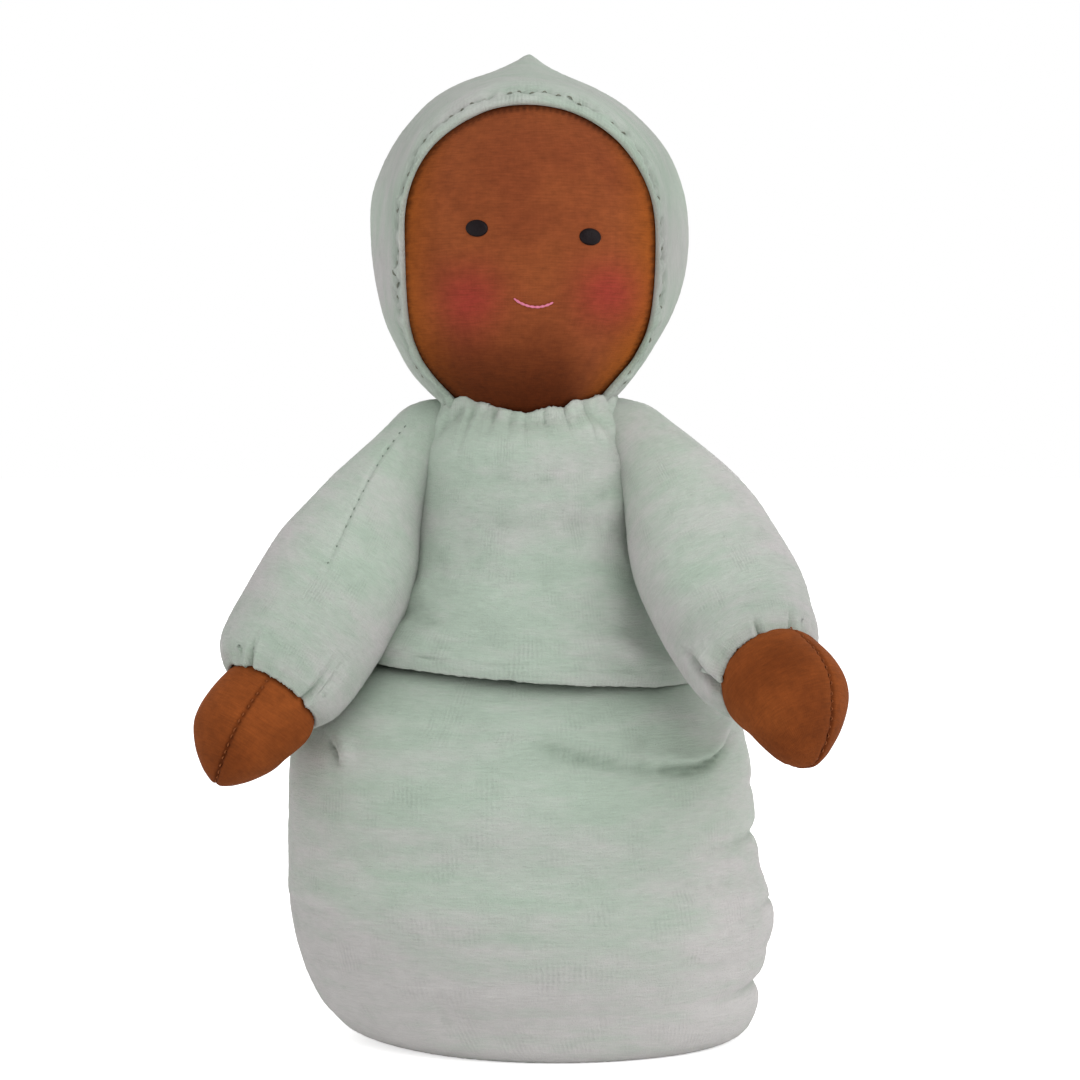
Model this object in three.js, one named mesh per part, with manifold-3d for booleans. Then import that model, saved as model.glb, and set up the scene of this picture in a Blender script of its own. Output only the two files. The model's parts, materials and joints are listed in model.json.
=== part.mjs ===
// A soft cloth doll that stands on a stuffed sack: hooded head, gathered bodice, puffed sleeves
// and mitten hands. Millimetres, +Z up. The doll faces -Y, and left and right are its own, so
// its left side is +X. The origin is on the flat underside, below the neck.
import * as THREE from 'three';
import { mergeVertices } from 'three/addons/utils/BufferGeometryUtils.js';
import Module from 'manifold-3d';

const wasm = await Module();
wasm.setup();

// Cloth and thread
const velourThickness = 1.6;
const jerseyThickness = 0.8;
const threadRadius = 0.5;

// Gaps between pieces
const seatGap = 0.3; // pieces that touch
const packGap = 0.6; // stuffing inside its cover
const runningGap = 0.5; // stuffing that turns in a socket
const cutOverrun = 5; // how far a cutting solid passes the piece that it cuts

// Sack, the stuffed lower body
const sackHeight = 122;
const sackReachRight = 78.4;
const sackReachLeft = 79.4;
const sackHalfDepth = 51;

// Torso, from the top of the sack to the neckline
const torsoHeight = 86.5;
const hemOverlap = 4;
const hemEase = 2.2;
const chestHalfWidth = 37;
const chestHalfDepth = 32;
const waistSqueeze = 5; // stuffing between the sack and the firm part of the torso

// Neck
const neckRadius = 14;
const neckSink = 22; // how deep the neck roll sits in the torso
const neckPivotDrop = 8.5; // neck pivot, below the neckline
const headSeatDrop = 2.5; // opening of the head, below the neckline

// Head and hood
const headHeight = 105;
const headHalfWidth = 49.2;
const headHalfDepth = 43.5;
const hoodLift = 0.8; // lower edge of the hood, above the neckline
const peakRise = 7.8;
const peakSpread = 6.5;
const openingWidthShare = 0.813; // opening for the face, of the head's width
const openingHeightShare = 0.871; // and of its height
const hemStitchInset = 4;

// Face
const eyeSpacing = 34.9;
const eyeHalfWidth = 3.6;
const eyeHalfHeight = 2.5;
const eyeThickness = 1.1;
const eyeHeightShare = 0.516; // above the opening of the head, of its height
const mouthWidth = 12.2;
const mouthSag = 1.9;
const mouthHeightShare = 0.316;
const faceRoll = THREE.MathUtils.degToRad(-4); // the face leans a little to its left
const faceShift = 1.3;

// Arms
const armLength = 101; // shoulder pivot to cuff
const shoulderBallRadius = 8.5;
const shoulderInset = 2.8; // shoulder pivot, inside the bodice's side
const shoulderDrop = 12; // shoulder pivot, below the neckline
const sleeveHalfWidth = 25.3;
const sleeveHalfDepth = 19.4;
const armRight = { side: -1, out: 30.3, forward: 21, seamTurn: 0, sleeveSeamTurn: 0 };
const armLeft = { side: 1, out: 24.4, forward: 37.5, seamTurn: 50, sleeveSeamTurn: 160 };

// Hands
const handLength = 34;
const handHalfWidth = 18;
const handHalfDepth = 16;
const wristTieRise = 3; // thread that ties the hand, above the cuff

// How finely the soft forms are faceted
const bodySides = 24;
const headSides = 24;
const limbSides = 16;
const stuffingSides = 12;
const armStuffingSides = 8;
const threadSides = 6;
const threadSteps = 24;

// Heights that follow from these
const necklineHeight = sackHeight + torsoHeight;
const neckPivotHeight = necklineHeight - neckPivotDrop;
const headOpeningHeight = necklineHeight - headSeatDrop;
const shoulderHeight = necklineHeight - shoulderDrop;
const openingHalfWidth = openingWidthShare * headHalfWidth;
const openingHeight = openingHeightShare * headHeight;

const velourColour = '#b6c2b7';
const jerseyColour = '#8c4d31';
const woolColour = '#ece2d0';
const material = (color, roughness) => new THREE.MeshStandardMaterial({ color, roughness });
const velour = () => material(velourColour, 0.95);
const jerseyCloth = () => material(jerseyColour, 0.85);
const sewingThread = (colour) => material(colour, 0.7);
const wool = () => material(woolColour, 1);

const doll = new THREE.Group();

function addPiece(name, geometry, surface, parent = doll) {
  const mesh = new THREE.Mesh(geometry, surface);
  mesh.name = name;
  parent.add(mesh);
  return mesh;
}

// Soft forms. A form is a stack of rings with a point, a pole, at an end that closes.

// Rings from rows of height, reach to -X, reach to +X, reach to -Y and reach to +Y.
function formFrom(rows, sides, poles) {
  const rings = rows.map(([height, toRight, toLeft, toFront, toBack]) => {
    const ring = [];
    for (let side = 0; side < sides; side += 1) {
      const angle = (side / sides) * 2 * Math.PI;
      const x = Math.cos(angle);
      const y = Math.sin(angle);
      const reachX = x < 0 ? toRight : toLeft;
      const reachY = y < 0 ? toFront : toBack;
      ring.push(new THREE.Vector3(x * reachX, y * reachY, height));
    }
    return ring;
  });
  const poleAt = (height) => (height === undefined ? null : new THREE.Vector3(0, 0, height));
  return { rings, low: poleAt(poles.low), high: poleAt(poles.high) };
}

// The same form with every point moved out along its surface's own normal.
function swell(form, distance) {
  const { rings } = form;
  const sides = rings[0].length;
  const across = new THREE.Vector3();
  const along = new THREE.Vector3();
  const moved = rings.map((ring, row) => {
    const below = rings[row - 1] ?? (form.low ? ring.map(() => form.low) : ring);
    const above = rings[row + 1] ?? (form.high ? ring.map(() => form.high) : ring);
    return ring.map((point, side) => {
      across.subVectors(ring[(side + 1) % sides], ring[(side + sides - 1) % sides]);
      along.subVectors(above[side], below[side]);
      return across.clone().cross(along).normalize().multiplyScalar(distance).add(point);
    });
  });
  const shift = (pole, way) => (pole ? new THREE.Vector3(pole.x, pole.y, pole.z + way * distance) : null);
  return { rings: moved, low: shift(form.low, -1), high: shift(form.high, 1) };
}

// Adds a form's side walls and poles to a list of points and faces, and says where its rings are.
function wrap(form, points, faces, inward) {
  const firstRing = points.length;
  const sides = form.rings[0].length;
  form.rings.forEach((ring) => points.push(...ring));
  const face = (a, b, c) => faces.push(inward ? [a, c, b] : [a, b, c]);
  const corner = (row, side) => firstRing + row * sides + (side % sides);
  const top = form.rings.length - 1;
  for (let row = 0; row < top; row += 1) {
    for (let side = 0; side < sides; side += 1) {
      face(corner(row, side), corner(row, side + 1), corner(row + 1, side + 1));
      face(corner(row, side), corner(row + 1, side + 1), corner(row + 1, side));
    }
  }
  const fan = (pole, row, flip) => {
    const centre = points.push(pole) - 1;
    for (let side = 0; side < sides; side += 1) {
      if (flip) face(centre, corner(row, side + 1), corner(row, side));
      else face(centre, corner(row, side), corner(row, side + 1));
    }
  };
  if (form.low) fan(form.low, 0, true);
  if (form.high) fan(form.high, top, false);
  return { low: corner(0, 0), high: corner(top, 0), sides };
}

function geometryFrom(points, faces) {
  const geometry = new THREE.BufferGeometry();
  const places = points.flatMap((point) => point.toArray());
  geometry.setAttribute('position', new THREE.Float32BufferAttribute(places, 3));
  geometry.setIndex(faces.flat());
  return geometry;
}

function centreOf(ring) {
  const sum = ring.reduce((total, point) => total.add(point), new THREE.Vector3());
  return sum.divideScalar(ring.length);
}

// A form filled solid: an end without a pole gets a flat cap.
function filled(form) {
  const low = form.low ?? centreOf(form.rings[0]);
  const high = form.high ?? centreOf(form.rings[form.rings.length - 1]);
  const points = [];
  const faces = [];
  wrap({ rings: form.rings, low, high }, points, faces, false);
  return geometryFrom(points, faces);
}

// A form as a skin of cloth: an end without a pole stays open, with a rim.
function skin(form, thickness) {
  const points = [];
  const faces = [];
  const outer = wrap(form, points, faces, false);
  const inner = wrap(swell(form, -thickness), points, faces, true);
  for (let side = 0; side < outer.sides; side += 1) {
    const next = (side + 1) % outer.sides;
    if (!form.low) {
      faces.push([outer.low + side, inner.low + side, inner.low + next]);
      faces.push([outer.low + side, inner.low + next, outer.low + next]);
    }
    if (!form.high) {
      faces.push([outer.high + side, outer.high + next, inner.high + next]);
      faces.push([outer.high + side, inner.high + next, inner.high + side]);
    }
  }
  return geometryFrom(points, faces);
}

// Joins and cuts
function solidOf(geometry) {
  const plain = geometry.clone();
  plain.deleteAttribute('normal');
  plain.deleteAttribute('uv');
  const merged = mergeVertices(plain);
  const vertProperties = new Float32Array(merged.attributes.position.array);
  const triVerts = new Uint32Array(merged.index.array);
  return new wasm.Manifold(new wasm.Mesh({ numProp: 3, vertProperties, triVerts }));
}

function geometryOf(solid) {
  const mesh = solid.getMesh();
  const geometry = new THREE.BufferGeometry();
  geometry.setAttribute('position', new THREE.BufferAttribute(new Float32Array(mesh.vertProperties), 3));
  geometry.setIndex(new THREE.BufferAttribute(new Uint32Array(mesh.triVerts), 1));
  return geometry;
}

function less(solid, ...cutters) {
  return cutters.reduce((rest, cutter) => rest.subtract(cutter), solid);
}

function ball(radius, centre, sides, stretch = new THREE.Vector3(1, 1, 1)) {
  const geometry = new THREE.SphereGeometry(radius, sides, sides / 2);
  geometry.scale(stretch.x, stretch.y, stretch.z);
  geometry.translate(centre.x, centre.y, centre.z);
  return solidOf(geometry);
}

// A ball whose facets all lie outside its radius, for the room that a ball turns in.
function roomyBall(radius, centre, sides) {
  return ball(radius / Math.cos(Math.PI / sides) ** 2, centre, sides);
}

function slab(width, depth, low, high) {
  const geometry = new THREE.BoxGeometry(width, depth, high - low);
  geometry.translate(0, 0, (low + high) / 2);
  return solidOf(geometry);
}

// Threads
function threadAlong(points, steps) {
  const extrudePath = new THREE.CatmullRomCurve3(points);
  const section = new THREE.Shape();
  section.absarc(0, 0, threadRadius, 0, 2 * Math.PI);
  return new THREE.ExtrudeGeometry(section, { curveSegments: threadSides / 2, steps, extrudePath });
}

// A thread tied round a form, lying on it, from the form's height and reaches there.
function threadRound([height, toRight, toLeft, toFront, toBack]) {
  const lift = seatGap + threadRadius;
  const points = [];
  const faces = [];
  for (let step = 0; step < threadSteps; step += 1) {
    const angle = (step / threadSteps) * 2 * Math.PI;
    const x = Math.cos(angle);
    const y = Math.sin(angle);
    for (let side = 0; side < threadSides; side += 1) {
      const turn = (side / threadSides) * 2 * Math.PI;
      const out = lift + threadRadius * Math.cos(turn);
      const reachX = (x < 0 ? toRight : toLeft) + out;
      const reachY = (y < 0 ? toFront : toBack) + out;
      points.push(new THREE.Vector3(x * reachX, y * reachY, height + threadRadius * Math.sin(turn)));
      const here = step * threadSides + side;
      const beside = step * threadSides + ((side + 1) % threadSides);
      const ahead = ((step + 1) % threadSteps) * threadSides;
      faces.push([here, ahead + side, ahead + ((side + 1) % threadSides)]);
      faces.push([here, ahead + ((side + 1) % threadSides), beside]);
    }
  }
  return geometryFrom(points, faces);
}

// Sack: a bag of velour, flat where it stands, that swells to its full width a third of the way
// up and is drawn in under the bodice. Shares of its height, reaches and half depth.
const sackRingShares = [
  [0, 0.64, 0.81, 0.63],
  [0.01, 0.69, 0.86, 0.69],
  [0.04, 0.785, 0.925, 0.79],
  [0.096, 0.872, 0.945, 0.88],
  [0.204, 0.948, 0.96, 0.96],
  [0.367, 0.996, 0.99, 1],
  [0.53, 1, 0.925, 0.99],
  [0.719, 0.994, 0.91, 0.955],
  [0.773, 0.96, 0.885, 0.925],
  [0.854, 0.835, 0.83, 0.88],
  [0.907, 0.76, 0.75, 0.84],
  [0.945, 0.665, 0.655, 0.79],
  [1, 0.59, 0.58, 0.74],
];
const sackRings = sackRingShares.map(([height, right, left, depth]) => [
  height * sackHeight,
  right * sackReachRight,
  left * sackReachLeft,
  depth * sackHalfDepth,
  depth * sackHalfDepth,
]);
const sackForm = formFrom(sackRings, bodySides, { low: 0 });
const sackSolid = solidOf(filled(swell(sackForm, seatGap)));

function buildSack() {
  addPiece('sack_cover', skin(sackForm, velourThickness), velour());
  const stuffing = formFrom(sackRings, stuffingSides, { low: 0 });
  addPiece('sack_filling', filled(swell(stuffing, -velourThickness - packGap)), wool());
}

// Bodice: velour that flares over the top of the sack to a turned hem and is gathered at the
// neck. Each row is its height, how much the hem's width pulls on it, and its chest shares.
const bodiceRingShares = [
  [0, 1, 1.1, 1.12],
  [0.066, 0.93, 1.1, 1.12],
  [0.133, 0.62, 1.1, 1.12],
  [0.221, 0.33, 1.1, 1.12],
  [0.354, 0.05, 1.1, 1.1],
  [0.497, 0, 1.025, 1.03],
  [0.641, 0, 0.965, 0.97],
  [0.773, 0, 0.92, 0.905],
  [0.873, 0, 0.875, 0.845],
  [0.939, 0, 0.825, 0.79],
  [1, 0, 0.77, 0.735],
];
const hemShare = 0.665; // width of the sack under the hem, of its full reach
const hemDepthShare = 0.79;
const hemHeight = sackHeight - hemOverlap;
const hemReachRight = hemShare * sackReachRight + hemEase;
const hemReachLeft = hemShare * sackReachLeft + hemEase;
const hemHalfDepth = hemDepthShare * sackHalfDepth + hemEase + velourThickness;
const bodiceRings = bodiceRingShares.map(([height, pull, width, depth]) => {
  const mix = (hem, chest) => pull * hem + (1 - pull) * chest;
  return [
    hemHeight + height * (necklineHeight - hemHeight),
    mix(hemReachRight, width * chestHalfWidth),
    mix(hemReachLeft, width * chestHalfWidth),
    mix(hemHalfDepth, depth * chestHalfDepth),
    mix(hemHalfDepth, depth * chestHalfDepth),
  ];
});
const bodiceForm = formFrom(bodiceRings, bodySides, {});
const torsoForm = formFrom(bodiceRings, stuffingSides, {});
const torsoRoom = solidOf(filled(swell(torsoForm, -velourThickness - packGap)));

// Reads a set of rings at a height.
function ringAtHeight(rings, height) {
  let index = rings.findIndex((row, place) => place > 0 && row[0] >= height);
  if (index < 0) index = rings.length - 1;
  const [low, high] = [rings[index - 1], rings[index]];
  const t = (height - low[0]) / (high[0] - low[0]);
  return low.map((value, column) => value + t * (high[column] - value));
}

const shoulderRing = ringAtHeight(bodiceRings, shoulderHeight);
const shoulderReach = shoulderRing[2] - shoulderInset;
const shoulderOf = (arm) => new THREE.Vector3(arm.side * shoulderReach, 0, shoulderHeight);
const socketRadius = shoulderBallRadius + 2 * threadRadius + 2 * seatGap;
const sockets = [armRight, armLeft].map((arm) => roomyBall(socketRadius, shoulderOf(arm), limbSides));

// The firm stuffing of the torso is a rounded block, so that it can rock on the sack below and
// the head can nod above it.
const torsoLow = sackHeight + waistSqueeze;
const torsoHigh = necklineHeight - neckPivotDrop + 2 * runningGap;
const torsoMiddle = new THREE.Vector3(0, 0, (torsoLow + torsoHigh) / 2);
const torsoRoundShare = 1.44; // how much wider than the chest the rounded block is

function torsoBlock(gap) {
  const halfHeight = (torsoHigh - torsoLow) / 2 + gap;
  const wide = (torsoRoundShare * chestHalfWidth + gap) / halfHeight;
  const deep = (torsoRoundShare * chestHalfDepth + gap) / halfHeight;
  return ball(halfHeight, torsoMiddle, limbSides, new THREE.Vector3(wide, deep, 1));
}

function buildTorso() {
  const bodice = less(solidOf(skin(bodiceForm, velourThickness)), ...sockets);
  addPiece('bodice', geometryOf(bodice), velour());

  const holeRadius = (neckRadius + runningGap) / Math.cos(Math.PI / stuffingSides);
  const neckHole = new THREE.CylinderGeometry(holeRadius, holeRadius, neckSink + cutOverrun, stuffingSides);
  neckHole.rotateX(Math.PI / 2);
  neckHole.translate(0, 0, neckPivotHeight - seatGap + (cutOverrun - neckSink) / 2);
  const firm = torsoRoom.intersect(torsoBlock(0));
  addPiece('torso_filling', geometryOf(less(firm, solidOf(neckHole), ...sockets)), wool());

  const span = 2 * (sackReachRight + sackReachLeft);
  const squeezed = slab(span, span, sackHeight + seatGap, torsoMiddle.z);
  const wedge = torsoRoom.intersect(squeezed).subtract(torsoBlock(seatGap));
  addPiece('waist_filling', geometryOf(wedge), wool());

  const tie = threadRound(ringAtHeight(bodiceRings, necklineHeight - threadRadius));
  addPiece('neck_gather_thread', geometryOf(less(solidOf(tie), ...sockets)), sewingThread('#a9b5ab'));

  const profile = [new THREE.Vector2(0, -neckSink), new THREE.Vector2(neckRadius, -neckSink)];
  const domeSteps = 6;
  for (let step = 0; step <= domeSteps; step += 1) {
    const angle = (step / domeSteps) * (Math.PI / 2);
    profile.push(new THREE.Vector2(neckRadius * Math.cos(angle), neckRadius * Math.sin(angle)));
  }
  const roll = new THREE.LatheGeometry(profile, stuffingSides);
  roll.rotateX(Math.PI / 2);
  roll.translate(0, 0, neckPivotHeight);
  addPiece('neck_roll', roll, wool());
}

// Head: a ball of jersey, drawn in below by the bodice's neckline, over a wool core. Each row is
// its height, how much the neckline pulls on it, and its shares of the head's halves.
const headRingShares = [
  [0, 1, 0.41, 0.4],
  [0.024, 0.7, 0.743, 0.733],
  [0.067, 0, 0.64, 0.63],
  [0.12, 0, 0.745, 0.735],
  [0.18, 0, 0.82, 0.82],
  [0.29, 0, 0.925, 0.925],
  [0.43, 0, 0.988, 0.985],
  [0.57, 0, 1, 1],
  [0.68, 0, 0.96, 0.97],
  [0.8, 0, 0.835, 0.855],
  [0.9, 0, 0.63, 0.655],
  [0.96, 0, 0.41, 0.425],
  [0.987, 0, 0.235, 0.245],
  [0.998, 0, 0.1, 0.105],
];
const neckWidthShare = 0.708; // opening of the head, of the neckline
const neckDepthShare = 0.74;
const neckline = bodiceRings[bodiceRings.length - 1];
const headRings = headRingShares.map(([height, pull, width, depth]) => {
  const halfWidth = pull * neckWidthShare * neckline[1] + (1 - pull) * width * headHalfWidth;
  const halfDepth = pull * neckDepthShare * neckline[3] + (1 - pull) * depth * headHalfDepth;
  return [headOpeningHeight + height * headHeight, halfWidth, halfWidth, halfDepth, halfDepth];
});
const headTop = headOpeningHeight + headHeight;
const headForm = formFrom(headRings, headSides, { high: headTop });
const headSolid = solidOf(filled(swell(headForm, seatGap)));
const neckPivot = new THREE.Vector3(0, 0, neckPivotHeight);

// A place on the front or the back of a form, over a point of the doll's upright plane.
function onForm(form, x, height, lift, fromBack = false) {
  const mesh = new THREE.Mesh(filled(form), new THREE.MeshBasicMaterial({ side: THREE.DoubleSide }));
  const way = fromBack ? -1 : 1;
  const start = new THREE.Vector3(x, -way * (headHeight + sackHeight), height);
  const [hit] = new THREE.Raycaster(start, new THREE.Vector3(0, way, 0)).intersectObject(mesh);
  return hit.point.clone().addScaledVector(hit.face.normal, lift);
}

function buildHead() {
  addPiece('head_skin', skin(headForm, jerseyThickness), jerseyCloth());

  const coreForm = formFrom(headRings.slice(1), stuffingSides, { high: headTop });
  const core = solidOf(filled(swell(coreForm, -jerseyThickness - packGap)));
  const cup = roomyBall(neckRadius + runningGap, neckPivot, limbSides);
  addPiece('head_core', geometryOf(core.subtract(cup)), wool());

  const tie = threadRound(ringAtHeight(headRings, headOpeningHeight + threadRadius));
  addPiece('head_tie', geometryOf(solidOf(tie).subtract(headSolid)), sewingThread('#efe9dc'));
}

// Hood: velour over the head, drawn up to a small peak, with an opening for the face.
const openingShares = [
  [0.56, 0],
  [0.8, 0.135],
  [0.95, 0.27],
  [1, 0.44],
  [1, 0.62],
  [0.91, 0.77],
  [0.7, 0.905],
  [0.4, 0.975],
  [0, 1],
];
const hoodLow = necklineHeight + hoodLift;

function openingOutline(grow) {
  const half = openingShares.map(([x, z]) => {
    const width = x * openingHalfWidth + grow;
    const height = hoodLow + z * (openingHeight + grow);
    return new THREE.Vector2(z === 1 ? 0 : width, height);
  });
  const mirrored = half.slice(0, -1).reverse().map((point) => new THREE.Vector2(-point.x, point.y));
  return new THREE.SplineCurve([...half, ...mirrored]);
}

// Lifts the crown of a form to a soft point.
function peaked(form) {
  const lift = (point) => {
    const away = Math.hypot(point.x, point.y);
    return new THREE.Vector3(point.x, point.y, point.z + peakRise * Math.exp(-away / peakSpread));
  };
  return { rings: form.rings.map((ring) => ring.map(lift)), low: form.low, high: lift(form.high) };
}

function buildHood() {
  const openingSteps = 40;
  const outline = openingOutline(0).getPoints(openingSteps);
  const shape = new THREE.Shape(outline);
  shape.lineTo(outline[openingSteps].x, hoodLow - cutOverrun);
  shape.lineTo(outline[0].x, hoodLow - cutOverrun);
  const depth = headHalfDepth + velourThickness + cutOverrun;
  const prism = new THREE.ExtrudeGeometry(shape, { depth, bevelEnabled: false });
  prism.rotateX(Math.PI / 2);
  const span = 2 * (headHalfDepth + headHalfWidth);
  const below = slab(span, span, headOpeningHeight - span, hoodLow);
  const outer = peaked(swell(headForm, seatGap + velourThickness));
  const hood = less(solidOf(filled(outer)), headSolid, solidOf(prism), below);
  addPiece('hood', geometryOf(hood), velour());

  const lift = 2 * seatGap + threadRadius;
  const stitchLine = openingOutline(hemStitchInset).getPoints(openingSteps).slice(1, -1);
  const stitch = stitchLine.map(({ x, y: z }) => onForm(outer, x, z, lift));
  addPiece('hood_hem_stitch', threadAlong(stitch, openingSteps), sewingThread('#5b4a40'));

  const seamShares = [0.995, 0.95, 0.87, 0.77, 0.66, 0.55, 0.43, 0.31, 0.2, 0.12];
  const seamHeights = seamShares.map((share) => headOpeningHeight + share * headHeight);
  const seam = seamHeights.map((height) => onForm(outer, 0, height, lift, true));
  addPiece('hood_back_seam', threadAlong(seam, threadSteps), sewingThread('#a3afa6'));
}

// Face: two satin-stitched eyes and a stem-stitched mouth, sewn on the head.
function buildFace() {
  const roll = (x, z) => [
    faceShift + x * Math.cos(faceRoll) - z * Math.sin(faceRoll),
    x * Math.sin(faceRoll) + z * Math.cos(faceRoll),
  ];
  [['eye_right', -1], ['eye_left', 1]].forEach(([name, side]) => {
    const [x, z] = roll((side * eyeSpacing) / 2, 0);
    const height = headOpeningHeight + eyeHeightShare * headHeight + z;
    const centre = onForm(headForm, x, height, seatGap);
    const stretch = new THREE.Vector3(1, eyeThickness / eyeHalfWidth, eyeHalfHeight / eyeHalfWidth);
    const eye = ball(eyeHalfWidth, centre, stuffingSides, stretch).subtract(headSolid);
    addPiece(name, geometryOf(eye), sewingThread('#1c1413'));
  });
  const mouthShares = [-1, -0.6, 0, 0.6, 1];
  const mouth = mouthShares.map((share) => {
    const [x, z] = roll((share * mouthWidth) / 2, mouthSag * (share * share - 1));
    const height = headOpeningHeight + mouthHeightShare * headHeight + z;
    return onForm(headForm, x, height, seatGap + threadRadius);
  });
  addPiece('mouth_stitch', threadAlong(mouth, 2 * mouthShares.length), sewingThread('#c8647f'));
}

// Sleeve: a puffed tube of velour, sewn shut at the shoulder and gathered in at the cuff. Each
// row is its distance down the arm, then shares outwards, inwards and in depth.
const sleeveRingShares = [
  [0, 0.4, 0.336, 0.46],
  [0.08, 0.55, 0.25, 0.6],
  [0.17, 0.71, 0.27, 0.74],
  [0.3, 0.87, 0.47, 0.86],
  [0.42, 0.945, 0.7, 0.93],
  [0.53, 0.985, 0.86, 0.97],
  [0.66, 1, 0.94, 1],
  [0.76, 1, 0.95, 1],
  [0.84, 0.98, 0.92, 0.98],
  [0.92, 0.92, 0.87, 0.93],
  [0.97, 0.81, 0.8, 0.825],
  [1, 0.695, 0.71, 0.696],
];
const sleeveSeamShares = [0.14, 0.3, 0.45, 0.6, 0.75, 0.88];

// The ball at the top of the sleeve: rise and width, in shares of its radius.
const crownShares = [
  [0.94, 0.34],
  [0.77, 0.64],
  [0.42, 0.907],
];

function sleeveRings(arm) {
  const rows = sleeveRingShares.map(([along, outwards, inwards, depth]) => [
    -along * armLength,
    (arm.side < 0 ? outwards : inwards) * sleeveHalfWidth,
    (arm.side < 0 ? inwards : outwards) * sleeveHalfWidth,
    depth * sleeveHalfDepth,
    depth * sleeveHalfDepth,
  ]);
  const crown = crownShares.map(([rise, width]) => {
    const reach = width * shoulderBallRadius;
    return [rise * shoulderBallRadius, reach, reach, reach, reach];
  });
  return [...rows.reverse(), ...crown.reverse()];
}

// Hand: a mitten of jersey, tied inside the cuff, full in the middle and pointed at the seam.
const handRingShares = [
  [0.98, 0.17, 0.2],
  [0.9, 0.45, 0.49],
  [0.78, 0.72, 0.755],
  [0.61, 0.93, 0.94],
  [0.44, 1, 1],
  [0.28, 0.975, 0.96],
  [0.19, 0.92, 0.82],
  [0.12, 0.83, 0.67],
  [0.03, 0.64, 0.655],
  [-0.06, 0.59, 0.645],
  [-0.17, 0.4, 0.43],
];
const handRings = handRingShares.map(([along, width, depth]) => [
  -along * handLength,
  width * handHalfWidth,
  width * handHalfWidth,
  depth * handHalfDepth,
  depth * handHalfDepth,
]);
const handForm = formFrom(handRings, limbSides, { low: -handLength });

function buildArm(arm, label) {
  const shoulder = new THREE.Group();
  shoulder.position.copy(shoulderOf(arm));
  const forward = THREE.MathUtils.degToRad(-arm.forward);
  const outward = THREE.MathUtils.degToRad(-arm.side * arm.out);
  shoulder.rotation.set(forward, outward, 0);
  doll.add(shoulder);
  shoulder.updateMatrixWorld(true);

  // The bodice and the sack, seen from the arm, cut what would press into them.
  const toArm = shoulder.matrixWorld.clone().invert();
  const bodyGeometry = filled(swell(bodiceForm, seatGap)).applyMatrix4(toArm);
  const socket = ball(shoulderBallRadius, new THREE.Vector3(), limbSides);
  const body = solidOf(bodyGeometry).subtract(socket);
  const sack = solidOf(geometryOf(sackSolid).applyMatrix4(toArm));

  const rings = sleeveRings(arm);
  const form = formFrom(rings, limbSides, { high: shoulderBallRadius });
  const sleeve = less(solidOf(skin(form, velourThickness)), body, sack);
  addPiece(`sleeve_${label}`, geometryOf(sleeve), velour(), shoulder);

  const wrist = new THREE.Vector3(0, 0, -armLength);
  const tiedRing = ringAtHeight(handRings, wristTieRise);
  const tieReach = tiedRing[1] + seatGap + 2 * threadRadius;
  const wristRoom = roomyBall(Math.hypot(tieReach, wristTieRise + threadRadius), wrist, limbSides);
  const fillingForm = formFrom(rings, armStuffingSides, { high: shoulderBallRadius });
  const stuffing = solidOf(filled(swell(fillingForm, -velourThickness - packGap)));
  addPiece(`arm_filling_${label}`, geometryOf(less(stuffing, wristRoom, body, sack)), wool(), shoulder);

  // The sleeve is closed along its length by one seam.
  const surface = new THREE.Mesh(filled(form), new THREE.MeshBasicMaterial({ side: THREE.DoubleSide }));
  const seamTurn = THREE.MathUtils.degToRad(arm.sleeveSeamTurn);
  const seamSide = new THREE.Vector3(arm.side * Math.sin(seamTurn), -Math.cos(seamTurn), 0);
  const sewn = sleeveSeamShares.map((share) => {
    const centre = new THREE.Vector3(0, 0, -share * armLength);
    const [hit] = new THREE.Raycaster(centre, seamSide).intersectObject(surface);
    return hit.point.clone().addScaledVector(seamSide, 2 * seatGap + threadRadius);
  });
  addPiece(`sleeve_seam_${label}`, threadAlong(sewn, threadSteps), sewingThread('#8f9b90'), shoulder);

  // The thread that sews the sleeve's crown into the bodice lies round it on the body's side.
  const seamOffset = shoulderBallRadius / 2;
  const seamReach = Math.sqrt(shoulderBallRadius ** 2 - seamOffset ** 2);
  const crownSeam = threadRound([0, seamReach, seamReach, seamReach, seamReach]);
  crownSeam.rotateY(Math.PI / 2);
  crownSeam.translate(-arm.side * (seamOffset + seatGap), 0, 0);
  crownSeam.translate(arm.side * shoulderReach, 0, shoulderHeight);
  addPiece(`shoulder_seam_${label}`, crownSeam, sewingThread('#a9b5ab'));

  const hand = new THREE.Group();
  hand.position.copy(wrist);
  hand.rotation.z = THREE.MathUtils.degToRad(arm.seamTurn);
  shoulder.add(hand);
  addPiece(`hand_${label}`, skin(handForm, jerseyThickness), jerseyCloth(), hand);

  const palmForm = formFrom(handRings, armStuffingSides, { low: -handLength });
  addPiece(`hand_filling_${label}`, filled(swell(palmForm, -jerseyThickness - packGap)), wool(), hand);

  addPiece(`wrist_thread_${label}`, threadRound(tiedRing), sewingThread('#7c3e22'), hand);

  const seamRows = handRings.slice(1, 6);
  const out = 2 * seatGap + threadRadius;
  const front = seamRows.map((row) => new THREE.Vector3(0, -row[3] - out, row[0]));
  const back = front.map(({ y, z }) => new THREE.Vector3(0, -y, z));
  const tip = new THREE.Vector3(0, 0, -handLength - out - seatGap);
  const seam = [...front.reverse(), tip, ...back];
  addPiece(`hand_seam_${label}`, threadAlong(seam, threadSteps), sewingThread('#5f2f18'), hand);
}

buildSack();
buildTorso();
buildHead();
buildHood();
buildFace();
buildArm(armRight, 'right');
buildArm(armLeft, 'left');

export default doll;
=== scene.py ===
import json

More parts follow.
